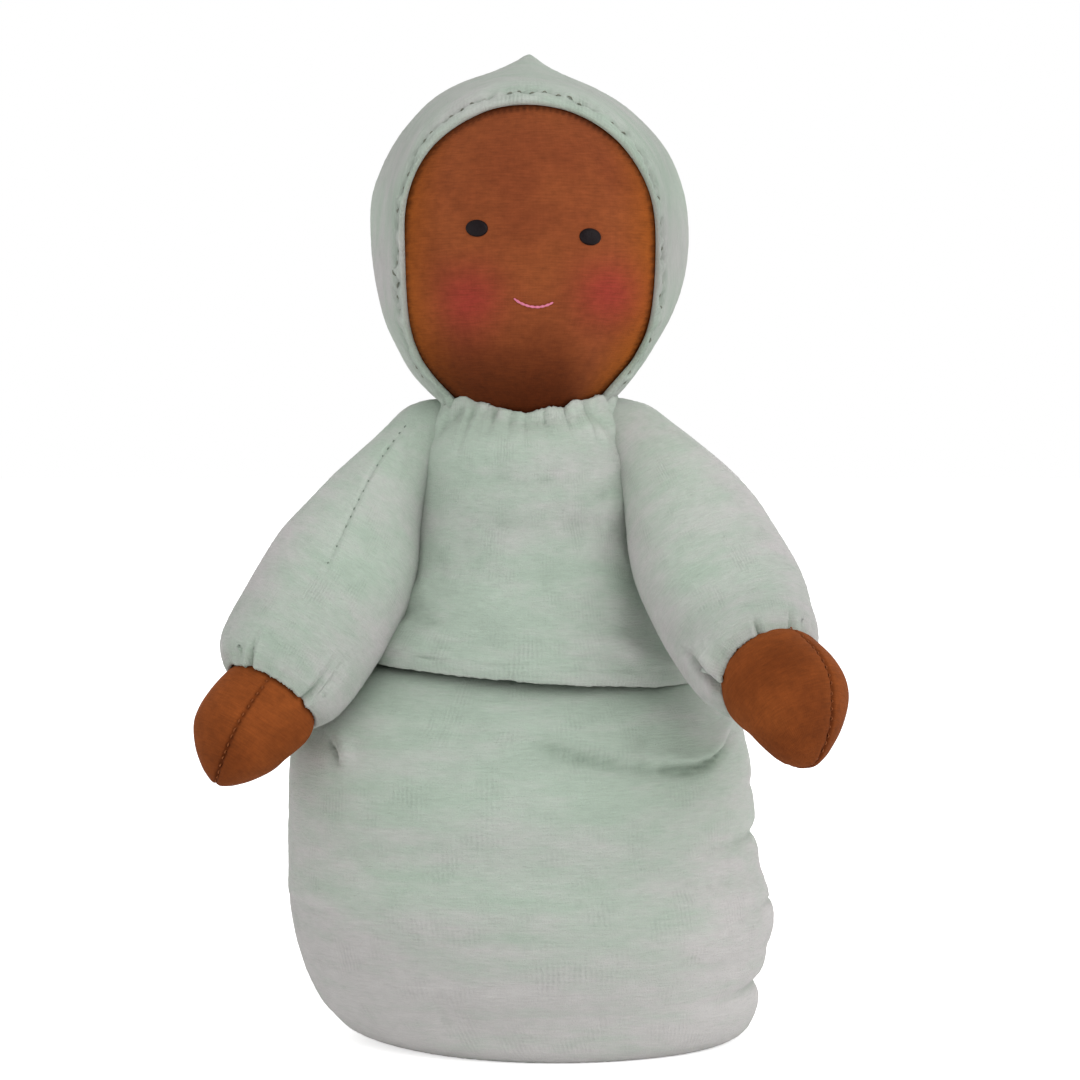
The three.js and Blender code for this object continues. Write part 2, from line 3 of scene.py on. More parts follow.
import bpy
import numpy as np
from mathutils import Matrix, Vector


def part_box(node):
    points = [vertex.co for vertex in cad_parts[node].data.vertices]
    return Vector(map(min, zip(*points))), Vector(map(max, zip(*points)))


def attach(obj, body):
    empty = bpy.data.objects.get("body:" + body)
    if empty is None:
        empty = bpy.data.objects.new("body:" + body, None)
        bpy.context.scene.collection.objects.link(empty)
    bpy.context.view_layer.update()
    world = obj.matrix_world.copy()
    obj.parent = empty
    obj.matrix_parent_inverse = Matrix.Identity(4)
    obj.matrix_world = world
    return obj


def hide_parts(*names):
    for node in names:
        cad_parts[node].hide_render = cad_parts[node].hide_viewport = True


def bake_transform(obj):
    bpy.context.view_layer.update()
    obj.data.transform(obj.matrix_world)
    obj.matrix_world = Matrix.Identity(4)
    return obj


# A soft cloth doll that stands on a stuffed sack, in a gathered bodice with puffed sleeves and a
# peaked hood. Metres. The doll faces -Y, and left and right are its own, so its left is +X.
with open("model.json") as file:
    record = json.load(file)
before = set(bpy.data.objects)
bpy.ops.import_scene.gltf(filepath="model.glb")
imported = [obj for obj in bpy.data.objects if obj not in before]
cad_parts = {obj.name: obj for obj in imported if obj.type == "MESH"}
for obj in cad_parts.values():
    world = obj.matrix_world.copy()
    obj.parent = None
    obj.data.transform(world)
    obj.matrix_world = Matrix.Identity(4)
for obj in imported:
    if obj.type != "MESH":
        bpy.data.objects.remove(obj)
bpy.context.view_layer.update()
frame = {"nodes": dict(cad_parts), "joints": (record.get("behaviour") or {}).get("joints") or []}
mm = 0.001
joint_called = {joint["name"]: joint for joint in frame["joints"]}

# Lower body: a bag of knitted cotton velour, stuffed with wool until it stands by itself. It is
# sewn down the back, sits flat on its base, and folds where it sags below the bodice.
sack_low, sack_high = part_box("sack_cover")
sack_sides = 90
sack_rows = 50
# Each row: height, reach to the right, reach to the left, half depth, as shares of the CAD's.
sack_shares = [
    (0.000, 0.05, 0.06, 0.05), (0.000, 0.20, 0.28, 0.28), (0.000, 0.37, 0.51, 0.50),
    (0.000, 0.52, 0.71, 0.68), (0.004, 0.59, 0.79, 0.76), (0.016, 0.685, 0.86, 0.81),
    (0.041, 0.775, 0.905, 0.855), (0.096, 0.85, 0.935, 0.91), (0.136, 0.88, 0.935, 0.935),
    (0.204, 0.92, 0.955, 0.965), (0.286, 0.962, 0.985, 0.985), (0.367, 0.978, 0.985, 1.0),
    (0.448, 0.982, 0.962, 0.995), (0.530, 0.982, 0.925, 0.985), (0.638, 0.982, 0.912, 0.965),
    (0.719, 0.977, 0.907, 0.945), (0.773, 0.965, 0.885, 0.925), (0.813, 0.94, 0.872, 0.905),
    (0.854, 0.90, 0.855, 0.885), (0.907, 0.84, 0.805, 0.85), (0.945, 0.78, 0.75, 0.80),
    (0.975, 0.70, 0.67, 0.70), (0.992, 0.54, 0.50, 0.50), (0.998, 0.26, 0.22, 0.22),
]
top_slope = (0.08, 0.02)  # how much the top falls from the doll's right, and to its left
top_slope_from = 100 * mm
# Folds seen from the front: points across and up in mm, then depth, width and raised lip in mm.
sack_folds = [
    ([(42, 93.5), (50, 92.3), (57, 94), (62, 97.5), (66, 103)], 2.9, 1.4, 2.4),
    ([(0, 103), (14, 98.5), (28, 95), (42, 93), (56, 94)], 1.3, 2.2, 1.4),
    ([(-64, 101), (-61.5, 98), (-60.5, 94)], 2.8, 1.6, 1.8),
    ([(-44, 112), (-14, 104), (12, 99), (38, 97)], 1.1, 5.0, 1.2),
    ([(-76, 74), (-58, 66), (-30, 67)], 0.7, 4.0, 0.7),
    ([(-77, 48), (-68, 46), (-56, 47)], 0.9, 1.8, 0.7),
    ([(36, 60), (58, 55), (76, 57)], 0.8, 3.0, 0.9),
    ([(44, 35), (62, 30), (78, 34)], 0.8, 3.2, 0.7),
    ([(-30, 40), (-4, 44), (24, 40)], 0.5, 5.0, 0.5),
]
# Puckers on the left side: height, depth and half height in mm.
side_puckers = [(68.5, 2.1, 2.6), (46, 1.4, 1.4), (19.5, 2.6, 2.8), (84, 0.9, 2.2), (31, 0.5, 2.4)]
pucker_reach = 0.42  # half of what a pucker spans, in radians round the sack
back_seam_depth = 1.1 * mm
back_seam_width = 1.3 * mm
pile_height = 0.05 * mm  # how far the pile's unevenness lifts single points of the cloth


def unit(vectors):
    """Vectors divided by their own lengths."""
    return vectors / np.maximum(np.linalg.norm(vectors, axis=-1, keepdims=True), 1e-12)


def bell(distance, width):
    """A Gaussian bell: e to the power of minus the square of distance over width."""
    return np.exp(-((distance / width) ** 2))


def eased(values, low, high):
    """0 below low and 1 above high, with a smooth step between."""
    t = np.clip((values - low) / (high - low), 0, 1)
    return t * t * (3 - 2 * t)


def curved(points, place, axis=0, ends="clip"):
    """Points on the Catmull-Rom curve through points along an axis, at places counted in points:
    a cubic between each two, whose slopes follow the neighbours. Ends that wrap make it closed."""
    index = place.astype(int)
    if ends == "clip":
        index = np.minimum(index, points.shape[axis] - 2)
    around = (np.take(points, index + step, axis, mode=ends) for step in (-1, 0, 1, 2))
    before, start, end, after = around
    t = (place - index).reshape([-1 if way == axis else 1 for way in range(points.ndim)])
    bend = 2 * before - 5 * start + 4 * end - after + t * (3 * (start - end) + after - before)
    return start + t / 2 * (end - before + t * bend)


def lengths_along(path):
    """How far each point lies along the path: the sum of the steps before it."""
    return np.r_[0, np.cumsum(np.linalg.norm(np.diff(path, axis=0), axis=1))]


def sampled(rows, length, places):
    """Rows read off at places along a path on which they lie at those lengths."""
    return np.stack([np.interp(places, length, column) for column in rows.T], axis=1)


def smooth_rows(table, count):
    """Rows at even steps along the Catmull-Rom curve through a table's rows."""
    last = len(table) - 1
    curve = curved(np.asarray(table, float), np.linspace(0, last, 40 * last + 1))
    length = lengths_along(curve)
    return sampled(curve, length, np.linspace(0, length[-1], count))


def rings(rows, sides):
    """A grid of rings round the upright axis, from rows of height and reach to -X, +X, -Y and +Y.
    At angle a a ring's x is the middle of its reaches to -X and +X plus cos a times half their
    sum, and its y is sin a times its reach. It starts at the back."""
    angle = np.pi / 2 + np.arange(sides) * 2 * np.pi / sides
    height, right, left, front, back = (column[:, None] for column in rows.T)
    deep = np.sin(angle)
    x = (left - right) / 2 + np.cos(angle) * (left + right) / 2
    y = deep * np.where(deep < 0, front, back)
    return np.stack([x, y, np.broadcast_to(height, x.shape)], axis=-1)


def normals_of(grid):
    """Outward unit normals of a grid: the step round a ring crossed with the step to the next."""
    around = np.roll(grid, -1, axis=1) - np.roll(grid, 1, axis=1)
    return unit(np.cross(around, np.gradient(grid, axis=0)))


def raised(grid, amount):
    """The grid with each point moved along its normal by that amount."""
    return grid + normals_of(grid) * np.asarray(amount)[..., None]


def refined(grid, times=4):
    """The smooth surface through a grid, on one that many times as fine: Catmull-Rom curves round
    each ring and then from ring to ring."""
    rows, sides = grid.shape[:2]
    grid = curved(grid, np.arange(sides * times) / times, axis=1, ends="wrap")
    return curved(grid, np.linspace(0, rows - 1, (rows - 1) * times + 1))


def lumps(points, size, seed):
    """Smooth noise between about -1 and 1, with lumps of that size in mm: a sum of plane waves
    whose directions and phases are drawn at random. A size of three numbers stretches it."""
    draw = np.random.default_rng(seed)
    waves = 32
    direction = unit(draw.normal(size=(waves, 3))) * draw.uniform(0.6, 1.4, (waves, 1))
    phase = draw.uniform(0, 2 * np.pi, waves)
    turns = (points / (np.asarray(size) * mm)) @ direction.T * np.pi + phase
    return np.sin(turns).sum(axis=-1) / np.sqrt(waves / 2)


def folded(grid, folds):
    """Presses folds into the grid, each along a path seen from the front and deepest in its
    middle, and raises the cloth above it: a Gaussian groove beside a wider Gaussian lip."""
    for path, depth, width, lip in folds:
        path = np.asarray(path, float) * mm
        width = width * mm
        flat = grid[..., [0, 2]]
        nearest = np.full(flat.shape[:2], np.inf)
        above = np.zeros(flat.shape[:2])
        share = np.zeros(flat.shape[:2])
        for number, (start, end) in enumerate(zip(path[:-1], path[1:])):
            step = end - start
            t = np.clip(((flat - start) @ step) / (step @ step), 0, 1)
            offset = flat - start - t[..., None] * step
            distance = np.linalg.norm(offset, axis=-1)
            closer = distance < nearest
            nearest = np.where(closer, distance, nearest)
            way = np.sign(step[0] * offset[..., 1] - step[1] * offset[..., 0])
            above = np.where(closer, way * distance, above)
            share = np.where(closer, (number + t) / (len(path) - 1), share)
        fade = np.sin(np.pi * (0.06 + 0.88 * share)) ** 0.7
        facing = eased(-normals_of(grid)[..., 1], -0.25, 0.15)
        past_ends = np.maximum(nearest - np.abs(above), 0)
        ridge = bell(above - 1.9 * width, 1.6 * width) * bell(past_ends, width)
        grid = raised(grid, (lip * ridge - depth * bell(nearest, width)) * mm * fade * facing)
    return grid


def placed(name, data):
    """A new object in the scene that holds that mesh, lamp or camera."""
    thing = bpy.data.objects.new(name, data)
    bpy.context.scene.collection.objects.link(thing)
    return thing


def ring_mesh(name, grid):
    """A piece from a grid of closed rings, its two ends closed on their middle points. Its UV map
    is in metres: round the widest ring, and along the grid."""
    rows, sides = grid.shape[:2]
    points = np.concatenate([grid.reshape(-1, 3), grid[0].mean(0)[None], grid[-1].mean(0)[None]])
    row = np.arange(rows - 1)[:, None] * sides
    side = np.arange(sides)
    following = (side + 1) % sides
    quads = np.stack([row + side, row + following, row + sides + following, row + sides + side], -1)
    top = (rows - 1) * sides
    low_fan = np.stack([np.full(sides, rows * sides), following, side], -1)
    high_fan = np.stack([np.full(sides, rows * sides + 1), top + side, top + following], -1)
    mesh = bpy.data.meshes.new(name)
    faces = [*quads.reshape(-1, 4).tolist(), *low_fan.tolist(), *high_fan.tolist()]
    mesh.from_pydata(points, [], faces)
    girth = np.linalg.norm(np.roll(grid, -1, axis=1) - grid, axis=-1).sum(axis=1).max()
    along = np.r_[0, np.cumsum(np.linalg.norm(np.diff(grid, axis=0), axis=-1).mean(axis=1))]
    u = np.stack([side, side + 1, side + 1, side], -1) * girth / sides
    v = np.stack([along[:-1], along[:-1], along[1:], along[1:]], -1)
    u = np.broadcast_to(u, (rows - 1, sides, 4)).ravel()
    v = np.broadcast_to(v[:, None], (rows - 1, sides, 4)).ravel()
    fan = np.stack([side + 0.5, side + 1, side], -1).ravel() * girth / sides
    rim = np.stack([np.full(sides, -mm), np.zeros(sides), np.zeros(sides)], -1).ravel()
    maps = np.stack([np.r_[u, fan, fan], np.r_[v, rim, along[-1] - rim]], -1)
    mesh.uv_layers.new(name="UVMap").data.foreach_set("uv", maps.ravel())
    mesh.shade_smooth()
    return placed(name, mesh)


def settled(grid, give, pressure, slack, most, frames=20):
    """The grid as cloth that stuffing pushes out for that many frames, moved by Blender's cloth
    solver. Each row's give is 0 where it is sewn fast and 1 where it is free, slack is how much
    longer the cloth is than the form, and no point moves further than most."""
    piece = ring_mesh("settling", grid)
    group = piece.vertex_groups.new(name="held")
    fast = np.flatnonzero(give < 0.02)[:, None] * grid.shape[1] + np.arange(grid.shape[1])
    group.add(fast.ravel().tolist(), 1.0, "ADD")
    cloth = piece.modifiers.new("cloth", "CLOTH")
    cloth.point_cache.frame_start = 1
    cloth.point_cache.frame_end = frames
    cloth.settings.quality = 6
    cloth.settings.mass = 0.15
    cloth.settings.tension_stiffness = 20
    cloth.settings.compression_stiffness = 20
    cloth.settings.bending_stiffness = 0.8
    cloth.settings.shrink_min = -slack
    cloth.settings.use_pressure = True
    cloth.settings.uniform_pressure_force = pressure
    cloth.settings.vertex_group_mass = "held"
    cloth.settings.effector_weights.gravity = 0
    for step in range(1, frames + 1):
        bpy.context.scene.frame_set(step)
    result = piece.evaluated_get(bpy.context.evaluated_depsgraph_get())
    points = np.empty(len(result.data.vertices) * 3)
    result.data.vertices.foreach_get("co", points)
    moved = points.reshape(-1, 3)[: grid.shape[0] * grid.shape[1]].reshape(grid.shape) - grid
    far = np.linalg.norm(moved, axis=-1, keepdims=True)
    bpy.data.objects.remove(piece)
    bpy.context.scene.frame_set(1)
    return grid + moved * most / np.maximum(far, most) * give[:, None, None]


def painted(piece, **attributes):
    """Stores values between 0 and 1 for the points of the piece's grid, for its material."""
    points = len(piece.data.vertices)
    for name, values in attributes.items():
        values = np.append(np.resize(values, points - 2), (0, 0))
        layer = piece.data.attributes.new(name, "FLOAT", "POINT")
        layer.data.foreach_set("value", np.clip(values, 0, 1).astype(np.float32))


def sunken(grid, depth):
    """How far the grid lies below the mean of the surface around it, as a share of that depth
    less a fifth: the grid is averaged with its neighbours twelve times and set against itself."""
    mean = grid
    for _ in range(12):
        mean = (mean + np.roll(mean, 1, axis=1) + np.roll(mean, -1, axis=1)) / 3
        mean = np.concatenate([mean[:1], (mean[:-2] + mean[1:-1] + mean[2:]) / 3, mean[-1:]])
    return np.clip(np.sum((mean - grid) * normals_of(grid), axis=-1) / depth - 0.2, 0, 1)


def linear(colour):
    """The linear colour of an sRGB hex value such as #b6c2b7."""
    srgb = np.array([int(colour[place : place + 2], 16) for place in (1, 3, 5)]) / 255
    return (*np.where(srgb <= 0.04045, srgb / 12.92, ((srgb + 0.055) / 1.055) ** 2.4), 1.0)


def add_node(tree, kind, inputs, output=0, **settings):
    """Adds a shader node with its settings, sets or links its inputs, and gives one output."""
    node = tree.nodes.new("ShaderNode" + kind)
    for name, value in settings.items():
        setattr(node, name, value)
    for name, value in inputs.items():
        if isinstance(value, bpy.types.NodeSocket):
            tree.links.new(value, node.inputs[name])
        else:
            node.inputs[name].default_value = value
    return node.outputs[output] if node.outputs else node


def bare_material(name):
    """A new material with an empty node tree, and its tree."""
    material = bpy.data.materials.new(name)
    material.use_nodes = True
    material.node_tree.nodes.clear()
    return material, material.node_tree


# Knitted cotton velour (nicki): fine ribs run up the cloth under a short soft pile, which looks
# greener where it stands up and greyer where it lies flat, and greyer towards the sides as a
# painted rim sheen. Painted shade darkens it in hollows, and painted light makes it lighter
# towards the tops and at the sack's base and left side. At a folded edge the ribs open.
rib_spacing = 1.45 * mm
wave_band = 0.314  # how far apart a wave texture's bands lie at scale 1, in metres
pile_streak = (5 * mm, 0.75 * mm)
pile_grain = 0.42 * mm
pile_patch = (28 * mm, 8 * mm)
rib_patch = 13 * mm
velour, tree = bare_material("cotton_velour")
cloth_map = add_node(tree, "UVMap", {}, uv_map="UVMap")
tone, hollow, opened, brushed = (
    add_node(tree, "Attribute", {}, "Fac", attribute_name=name)
    for name in ("tone", "hollow", "opened", "brushed")
)
ribs = add_node(
    tree,
    "TexWave",
    {
        "Vector": cloth_map,
        "Scale": wave_band / rib_spacing,
        "Distortion": 3.0,
        "Detail": 3.0,
        "Detail Scale": 2.2,
    },
    "Fac",
    wave_type="BANDS",
    bands_direction="X",
)
streak_map, patch_map = (
    add_node(tree, "Mapping", {"Vector": cloth_map, "Scale": (1 / across, 1 / along, 1.0)})
    for across, along in (pile_streak, pile_patch)
)
streaks, grain, patches, rib_place = (
    add_node(
        tree,
        "TexNoise",
        {"Vector": place, "Scale": scale, "Detail": detail, "Roughness": roughness},
        "Fac",
    )
    for place, scale, detail, roughness in (
        (streak_map, 1.0, 5.0, 0.7),
        (cloth_map, 1 / pile_grain, 2.0, 0.8),
        (patch_map, 1.0, 6.0, 0.66),
        (cloth_map, 1 / rib_patch, 3.0, 0.6),
    )
)
rib_show = add_node(
    tree,
    "MapRange",
    {"Value": rib_place, "From Min": 0.5, "From Max": 0.68, "To Min": 0.02, "To Max": 1.0},
)
rib_show = add_node(tree, "Math", {0: opened, 1: 0.4, 2: rib_show}, operation="MULTIPLY_ADD")
rib_part = add_node(tree, "Math", {0: ribs, 1: rib_show}, operation="MULTIPLY")
patch_part = add_node(tree, "Math", {0: patches, 1: 2.0, 2: -1.0}, operation="MULTIPLY_ADD")
greyness = add_node(tree, "Math", {0: tone, 1: patch_part}, operation="ADD", use_clamp=True)
# The pile greys with its tone and painted rim sheen, and goes dark green with painted shade.
pile = linear("#b2c2b3")
for amount, tint in ((greyness, "#bebcba"), (hollow, "#839484")):
    pile = add_node(tree, "MixRGB", {"Fac": amount, "Color1": pile, "Color2": linear(tint)})
# Brightness: noise of pile, patches and ribs, plus painted light.
shade = 0.37
weights = ((streaks, 0.44), (grain, 0.34), (rib_part, -0.1), (patches, 0.38), (brushed, 0.18))
for part, weight in weights:
    shade = add_node(tree, "Math", {0: part, 1: weight, 2: shade}, operation="MULTIPLY_ADD")
relief = grain
for part, weight in ((streaks, 1.2), (rib_part, -0.3)):
    relief = add_node(tree, "Math", {0: part, 1: weight, 2: relief}, operation="MULTIPLY_ADD")
surface = add_node(
    tree,
    "BsdfPrincipled",
    {
        "Base Color": add_node(tree, "HueSaturation", {"Color": pile, "Value": shade}),
        "Roughness": 0.95,
        "Specular IOR Level": 0.15,
        "Sheen Weight": 0.38,
        "Sheen Roughness": 0.45,
        "Sheen Tint": linear("#e8e4e4"),
        "Normal": add_node(tree, "Bump", {"Height": relief, "Strength": 0.9, "Distance": 0.45 * mm}),
    },
)
add_node(tree, "OutputMaterial", {"Surface": surface})

sack_form = np.array(sack_shares)[:, [0, 1, 2, 3, 3]] * (
    sack_high.z, -sack_low.x, sack_high.x, -sack_low.y, sack_high.y
)
sack_grid = rings(smooth_rows(sack_form, sack_rows), sack_sides)
ring_heights = sack_grid[:, 0, 2]
give = eased(ring_heights, 1 * mm, 26 * mm) * (1 - eased(ring_heights, 98 * mm, 117 * mm))
sack_grid = refined(settled(sack_grid, give, pressure=2.0, slack=0.03, most=2.2 * mm))
slope = np.where(sack_grid[..., 0] < 0, *top_slope)
sack_grid[..., 2] -= slope * sack_grid[..., 0] * eased(sack_grid[..., 2], top_slope_from, sack_high.z)
side_turn = np.arctan2(sack_grid[..., 1], sack_grid[..., 0])
for height, depth, half_height in side_puckers:
    at_height = bell(sack_grid[..., 2] / mm - height - 3 * side_turn, half_height)
    sack_grid = raised(sack_grid, -depth * mm * at_height * bell(side_turn, pucker_reach))
sack_grid = folded(sack_grid, sack_folds)
sack_grid = raised(sack_grid, 0.55 * mm * lumps(sack_grid, (70, 70, 15), seed=3))
behind = eased(sack_grid[..., 1], 0, 10 * mm)
sack_grid = raised(sack_grid, -back_seam_depth * behind * bell(sack_grid[..., 0], back_seam_width))
sack_grid = raised(sack_grid, pile_height * np.random.default_rng(5).normal(size=sack_grid.shape[:2]))
sack_grid[..., 2] = np.maximum(sack_grid[..., 2], 0)

sack = ring_mesh("sack_velour", sack_grid)
across, _, up = np.moveaxis(sack_grid, -1, 0)
aside = eased(np.abs(across), 40 * mm, 78 * mm)
at_base = 1 - eased(up, 3 * mm, 30 * mm)
bands = lumps(sack_grid, (60, 60, 12), seed=8)
# Painted on the sack: rim sheen greying its sides, shade in its hollows and under the bodice's hem, and
# light at its base and on its left side.
painted(
    sack,
    tone=0.95 - 0.85 * eased(up, 10 * mm, 90 * mm) + 0.45 * aside + 0.14 * bands,
    hollow=0.7 * sunken(sack_grid, 1.3 * mm) + 0.25 * eased(up, 106 * mm, 119 * mm),
    brushed=0.25 + 0.75 * at_base + 0.45 * eased(across, 35 * mm, 65 * mm),
)
sack.data.materials.append(velour)
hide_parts("sack_cover", "sack_filling", "waist_filling")
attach(sack, "sack")

# Bodice: a tube of the same velour over the chest's stuffing. Its hem is turned up and lies over
# the sack, and its top edge is gathered on a thread into small pleats under the chin.
bodice_low, bodice_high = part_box("bodice")
bodice_sides = 90
bodice_rows = 28
# Each row: height, half width and half depth, as shares of the CAD's box.
bodice_shares = [
    (0.000, 0.985, 1.0), (0.030, 1.0, 1.01), (0.066, 0.985, 0.995), (0.133, 0.91, 0.95),
    (0.221, 0.835, 0.895), (0.354, 0.762, 0.83), (0.497, 0.70, 0.775), (0.641, 0.662, 0.73),
    (0.773, 0.632, 0.69), (0.873, 0.602, 0.645), (0.939, 0.565, 0.59), (0.975, 0.535, 0.55),
    (1.000, 0.525, 0.54),
]
hem_depth = 4.5 * mm
hem_roll = 1.3 * mm
hem_turned_in = 5 * mm
hem_slope = 0.07  # how much the hem falls from the doll's right to its left
hem_rise = 4.1 * mm
neck_dip = 4.5 * mm
neck_rise = 0.5 * mm
neck_dip_width = 0.62  # half the dip's width, in radians round the neck
neckline_roll = 1.0 * mm
neck_turned_in = 7 * mm
neck_lean = 0.05  # how much narrower the neckline is on the doll's left
# Pleats at the neckline: place round the neck in degrees from the front towards the doll's left,
# depth and half width in mm, and length down the cloth in mm.
neck_pleats = [(-3, 0.45, 1.1, 9), (-27, 1.0, 1.0, 7), (-44, 1.2, 1.2, 12), (-14, 0.7, 1.2, 9)]
neck_pleats += [(11, 0.8, 1.1, 7), (27, 0.8, 1.1, 8), (43, 1.0, 1.2, 11), (66, 0.5, 1.2, 8)]
neck_pleats += [(-66, 0.5, 1.2, 8)]
# Soft folds seen from the front, as the sack's are.
bodice_folds = [
    ([(-31, 196), (-27, 202), (-20, 208)], 1.3, 1.5, 1.0),
    ([(29, 193), (25, 199), (17, 206)], 1.2, 1.7, 0.9),
    ([(31, 186), (27, 180), (19, 177)], 1.0, 3.0, 0.7),
    ([(-28, 186), (0, 183), (22, 185)], 0.85, 3.2, 0.7),
    ([(-30, 172), (-4, 169.5), (20, 171)], 0.95, 3.8, 0.8),
    ([(-34, 155), (-6, 152), (24, 155)], 0.8, 4.2, 0.7),
    ([(-40, 141), (-8, 136), (28, 138)], 1.05, 4.4, 0.9),
]


def turned_in(grid, radius, reach, end):
    """Adds a rolled edge to a grid's first or last ring, end 0 or -1, and the cloth that is turned
    in behind it: half a circle of that radius, then a run back along the inside."""
    beside = 3 if end == 0 else -4
    outwards = unit(grid[end] - grid[beside])
    normal = normals_of(grid)[end]
    turn = np.linspace(0, np.pi, 8)[1:, None, None]
    roll = grid[end] + radius * ((np.cos(turn) - 1) * normal + np.sin(turn) * outwards)
    run = roll[-1] - np.linspace(0, reach, 6)[1:, None, None] * outwards
    added = np.concatenate([roll, run])
    return np.concatenate([added[::-1], grid] if end == 0 else [grid, added])


def pleated(grid, angle, distance, pleats):
    """Draws pleats into a grid: each is a Gaussian groove at its own angle that fades with the
    distance from the gathered edge over its own length. angle and distance are in degrees and m."""
    girth = np.linalg.norm(np.roll(grid, -1, axis=1) - grid, axis=-1).sum(axis=1)[:, None]
    amount = np.zeros(grid.shape[:2])
    for place, depth, half_width, length in pleats:
        aside = (angle - place + 180) % 360 - 180
        across = aside / 360 * girth / (half_width * mm)
        fade = np.exp(-((distance / (length * mm)) ** 1.5))
        amount += (0.45 * bell(np.abs(across) - 2.2, 1) - bell(across, 1)) * depth * fade
    return raised(grid, amount * mm)


shares = np.array(bodice_shares)
half_width = shares[:, 1] * bodice_high.x
half_depth = shares[:, 2] * bodice_high.y
heights = bodice_low.z + shares[:, 0] * (bodice_high.z - bodice_low.z)
left_width = half_width * (1 - neck_lean * eased(heights, 190 * mm, 206 * mm))
bodice_form = np.stack([heights, half_width, left_width, half_depth, half_depth], 1)
bodice_grid = rings(smooth_rows(bodice_form, bodice_rows), bodice_sides)
ring_heights = bodice_grid[:, 0, 2]
give = eased(ring_heights - bodice_low.z, 0, 14 * mm) * (1 - eased(ring_heights, 184 * mm, 205 * mm))
bodice_grid = refined(settled(bodice_grid, give, pressure=1.5, slack=0.02, most=1.2 * mm))
front_turn = np.arctan2(bodice_grid[..., 0], -bodice_grid[..., 1])
above_hem = bodice_grid[..., 2] - bodice_low.z
lowered = 1 - eased(above_hem, 0, 40 * mm)
bodice_grid[..., 2] += lowered * (hem_rise - hem_slope * bodice_grid[..., 0])
below_neck = bodice_high.z - bodice_grid[..., 2]
dip = neck_dip * bell(front_turn, neck_dip_width) - neck_rise * eased(np.abs(front_turn), 0.5, 1.2)
bodice_grid[..., 2] -= dip * (1 - eased(below_neck, 0, 14 * mm))
below_neck = np.maximum(below_neck, 0)
bodice_grid = pleated(bodice_grid, np.degrees(front_turn), below_neck, neck_pleats)
rng = np.random.default_rng(21)
back_pleats = [
    (place + rng.uniform(-5, 5), rng.uniform(0.7, 1.5), 1.1, rng.uniform(6, 13))
    for place in range(85, 276, 17)
]
bodice_grid = pleated(bodice_grid, np.degrees(front_turn), below_neck, back_pleats)
bodice_grid = folded(bodice_grid, bodice_folds)
bodice_grid = raised(bodice_grid, 0.45 * mm * lumps(bodice_grid, (60, 60, 12), seed=13))
hem_line = bell(above_hem - hem_depth, 0.9 * mm) - 0.6 * (1 - eased(above_hem, 0, hem_depth))
bodice_grid = raised(bodice_grid, -0.55 * mm * hem_line * (1 + 0.4 * lumps(bodice_grid, 5, seed=14)))
ruffle = 1 - eased(below_neck, 0, 6 * mm)
bodice_grid = raised(bodice_grid, ruffle * 0.45 * mm * (0.6 + lumps(bodice_grid, (5, 5, 40), seed=15)))
ruffle = 1 - eased(below_neck, 0, 3 * mm)
bodice_grid[..., 2] += ruffle * 0.5 * mm * lumps(bodice_grid, (4.2, 4.2, 60), seed=16)
bodice_grid = raised(bodice_grid, pile_height * rng.normal(size=bodice_grid.shape[:2]))
bodice_grid = turned_in(bodice_grid, hem_roll, hem_turned_in, 0)
bodice_grid = turned_in(bodice_grid, neckline_roll, neck_turned_in, -1)
lowest = bodice_grid[..., 2].min(axis=0)

bodice = ring_mesh("bodice_velour", bodice_grid)
# Painted on the bodice: shade in its hollows, and light towards its top.
painted(
    bodice,
    tone=0.25 + 0.16 * lumps(bodice_grid, (45, 45, 11), seed=18),
    hollow=0.8 * sunken(bodice_grid, 0.9 * mm),
    opened=1 - eased(bodice_grid[..., 2] - lowest, 0.6 * hem_depth, 1.5 * hem_depth),
    brushed=0.15 + 0.5 * eased(bodice_grid[..., 2], 178 * mm, 200 * mm),
)
bodice.data.materials.append(velour)
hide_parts("bodice", "torso_filling")
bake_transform(bodice)

# Neck roll: a strip of carded wool rolled tight, with a round end that the head turns on. It is
# inside the head and the chest. Its material is raw wool, matt and cream with a loose fibre.
roll_low, roll_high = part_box("neck_roll")
roll_radius = roll_high.x
wool, tree = bare_material("carded_wool")
fibres = add_node(
    tree,
    "TexNoise",
    {
        "Vector": add_node(tree, "TexCoord", {}, "Object"),
        "Scale": 1 / (1.2 * mm),
        "Detail": 6.0,
        "Distortion": 1.5,
    },
    "Fac",
)
tints = {"Fac": fibres, "Color1": linear("#d8c9ae"), "Color2": linear("#f2ebdd")}
surface = add_node(
    tree,
    "BsdfPrincipled",
    {
        "Base Color": add_node(tree, "MixRGB", tints),
        "Roughness": 1.0,
        "Sheen Weight": 0.3,
        "Normal": add_node(tree, "Bump", {"Height": fibres, "Distance": 0.4 * mm}),
    },
)
add_node(tree, "OutputMaterial", {"Surface": surface})

dome_turn = np.linspace(0, 0.97 * np.pi / 2, 9)[1:]
dome_heights = roll_high.z - roll_radius * (1 - np.sin(dome_turn))
roll_heights = np.r_[np.linspace(roll_low.z, roll_high.z - roll_radius, 12), dome_heights]
roll_reach = np.r_[np.full(12, roll_radius), roll_radius * np.cos(dome_turn)]
roll_grid = rings(np.stack([roll_heights, *[roll_reach] * 4], 1), 64)
roll_grid = raised(roll_grid, -0.25 * mm - 0.2 * mm * lumps(roll_grid, (5, 5, 2.5), seed=31))
neck_roll = ring_mesh("neck_roll_wool", roll_grid)
neck_roll.data.materials.append(wool)
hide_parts("neck_roll")
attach(neck_roll, "neck")

# Head: a ball of wool in brown cotton jersey, drawn tight so that the knit's fine ribs run from
# crown to chin. The cheeks are rubbed with red crayon.
head_low, head_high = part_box("head_skin")
head_height = head_high.z - head_low.z
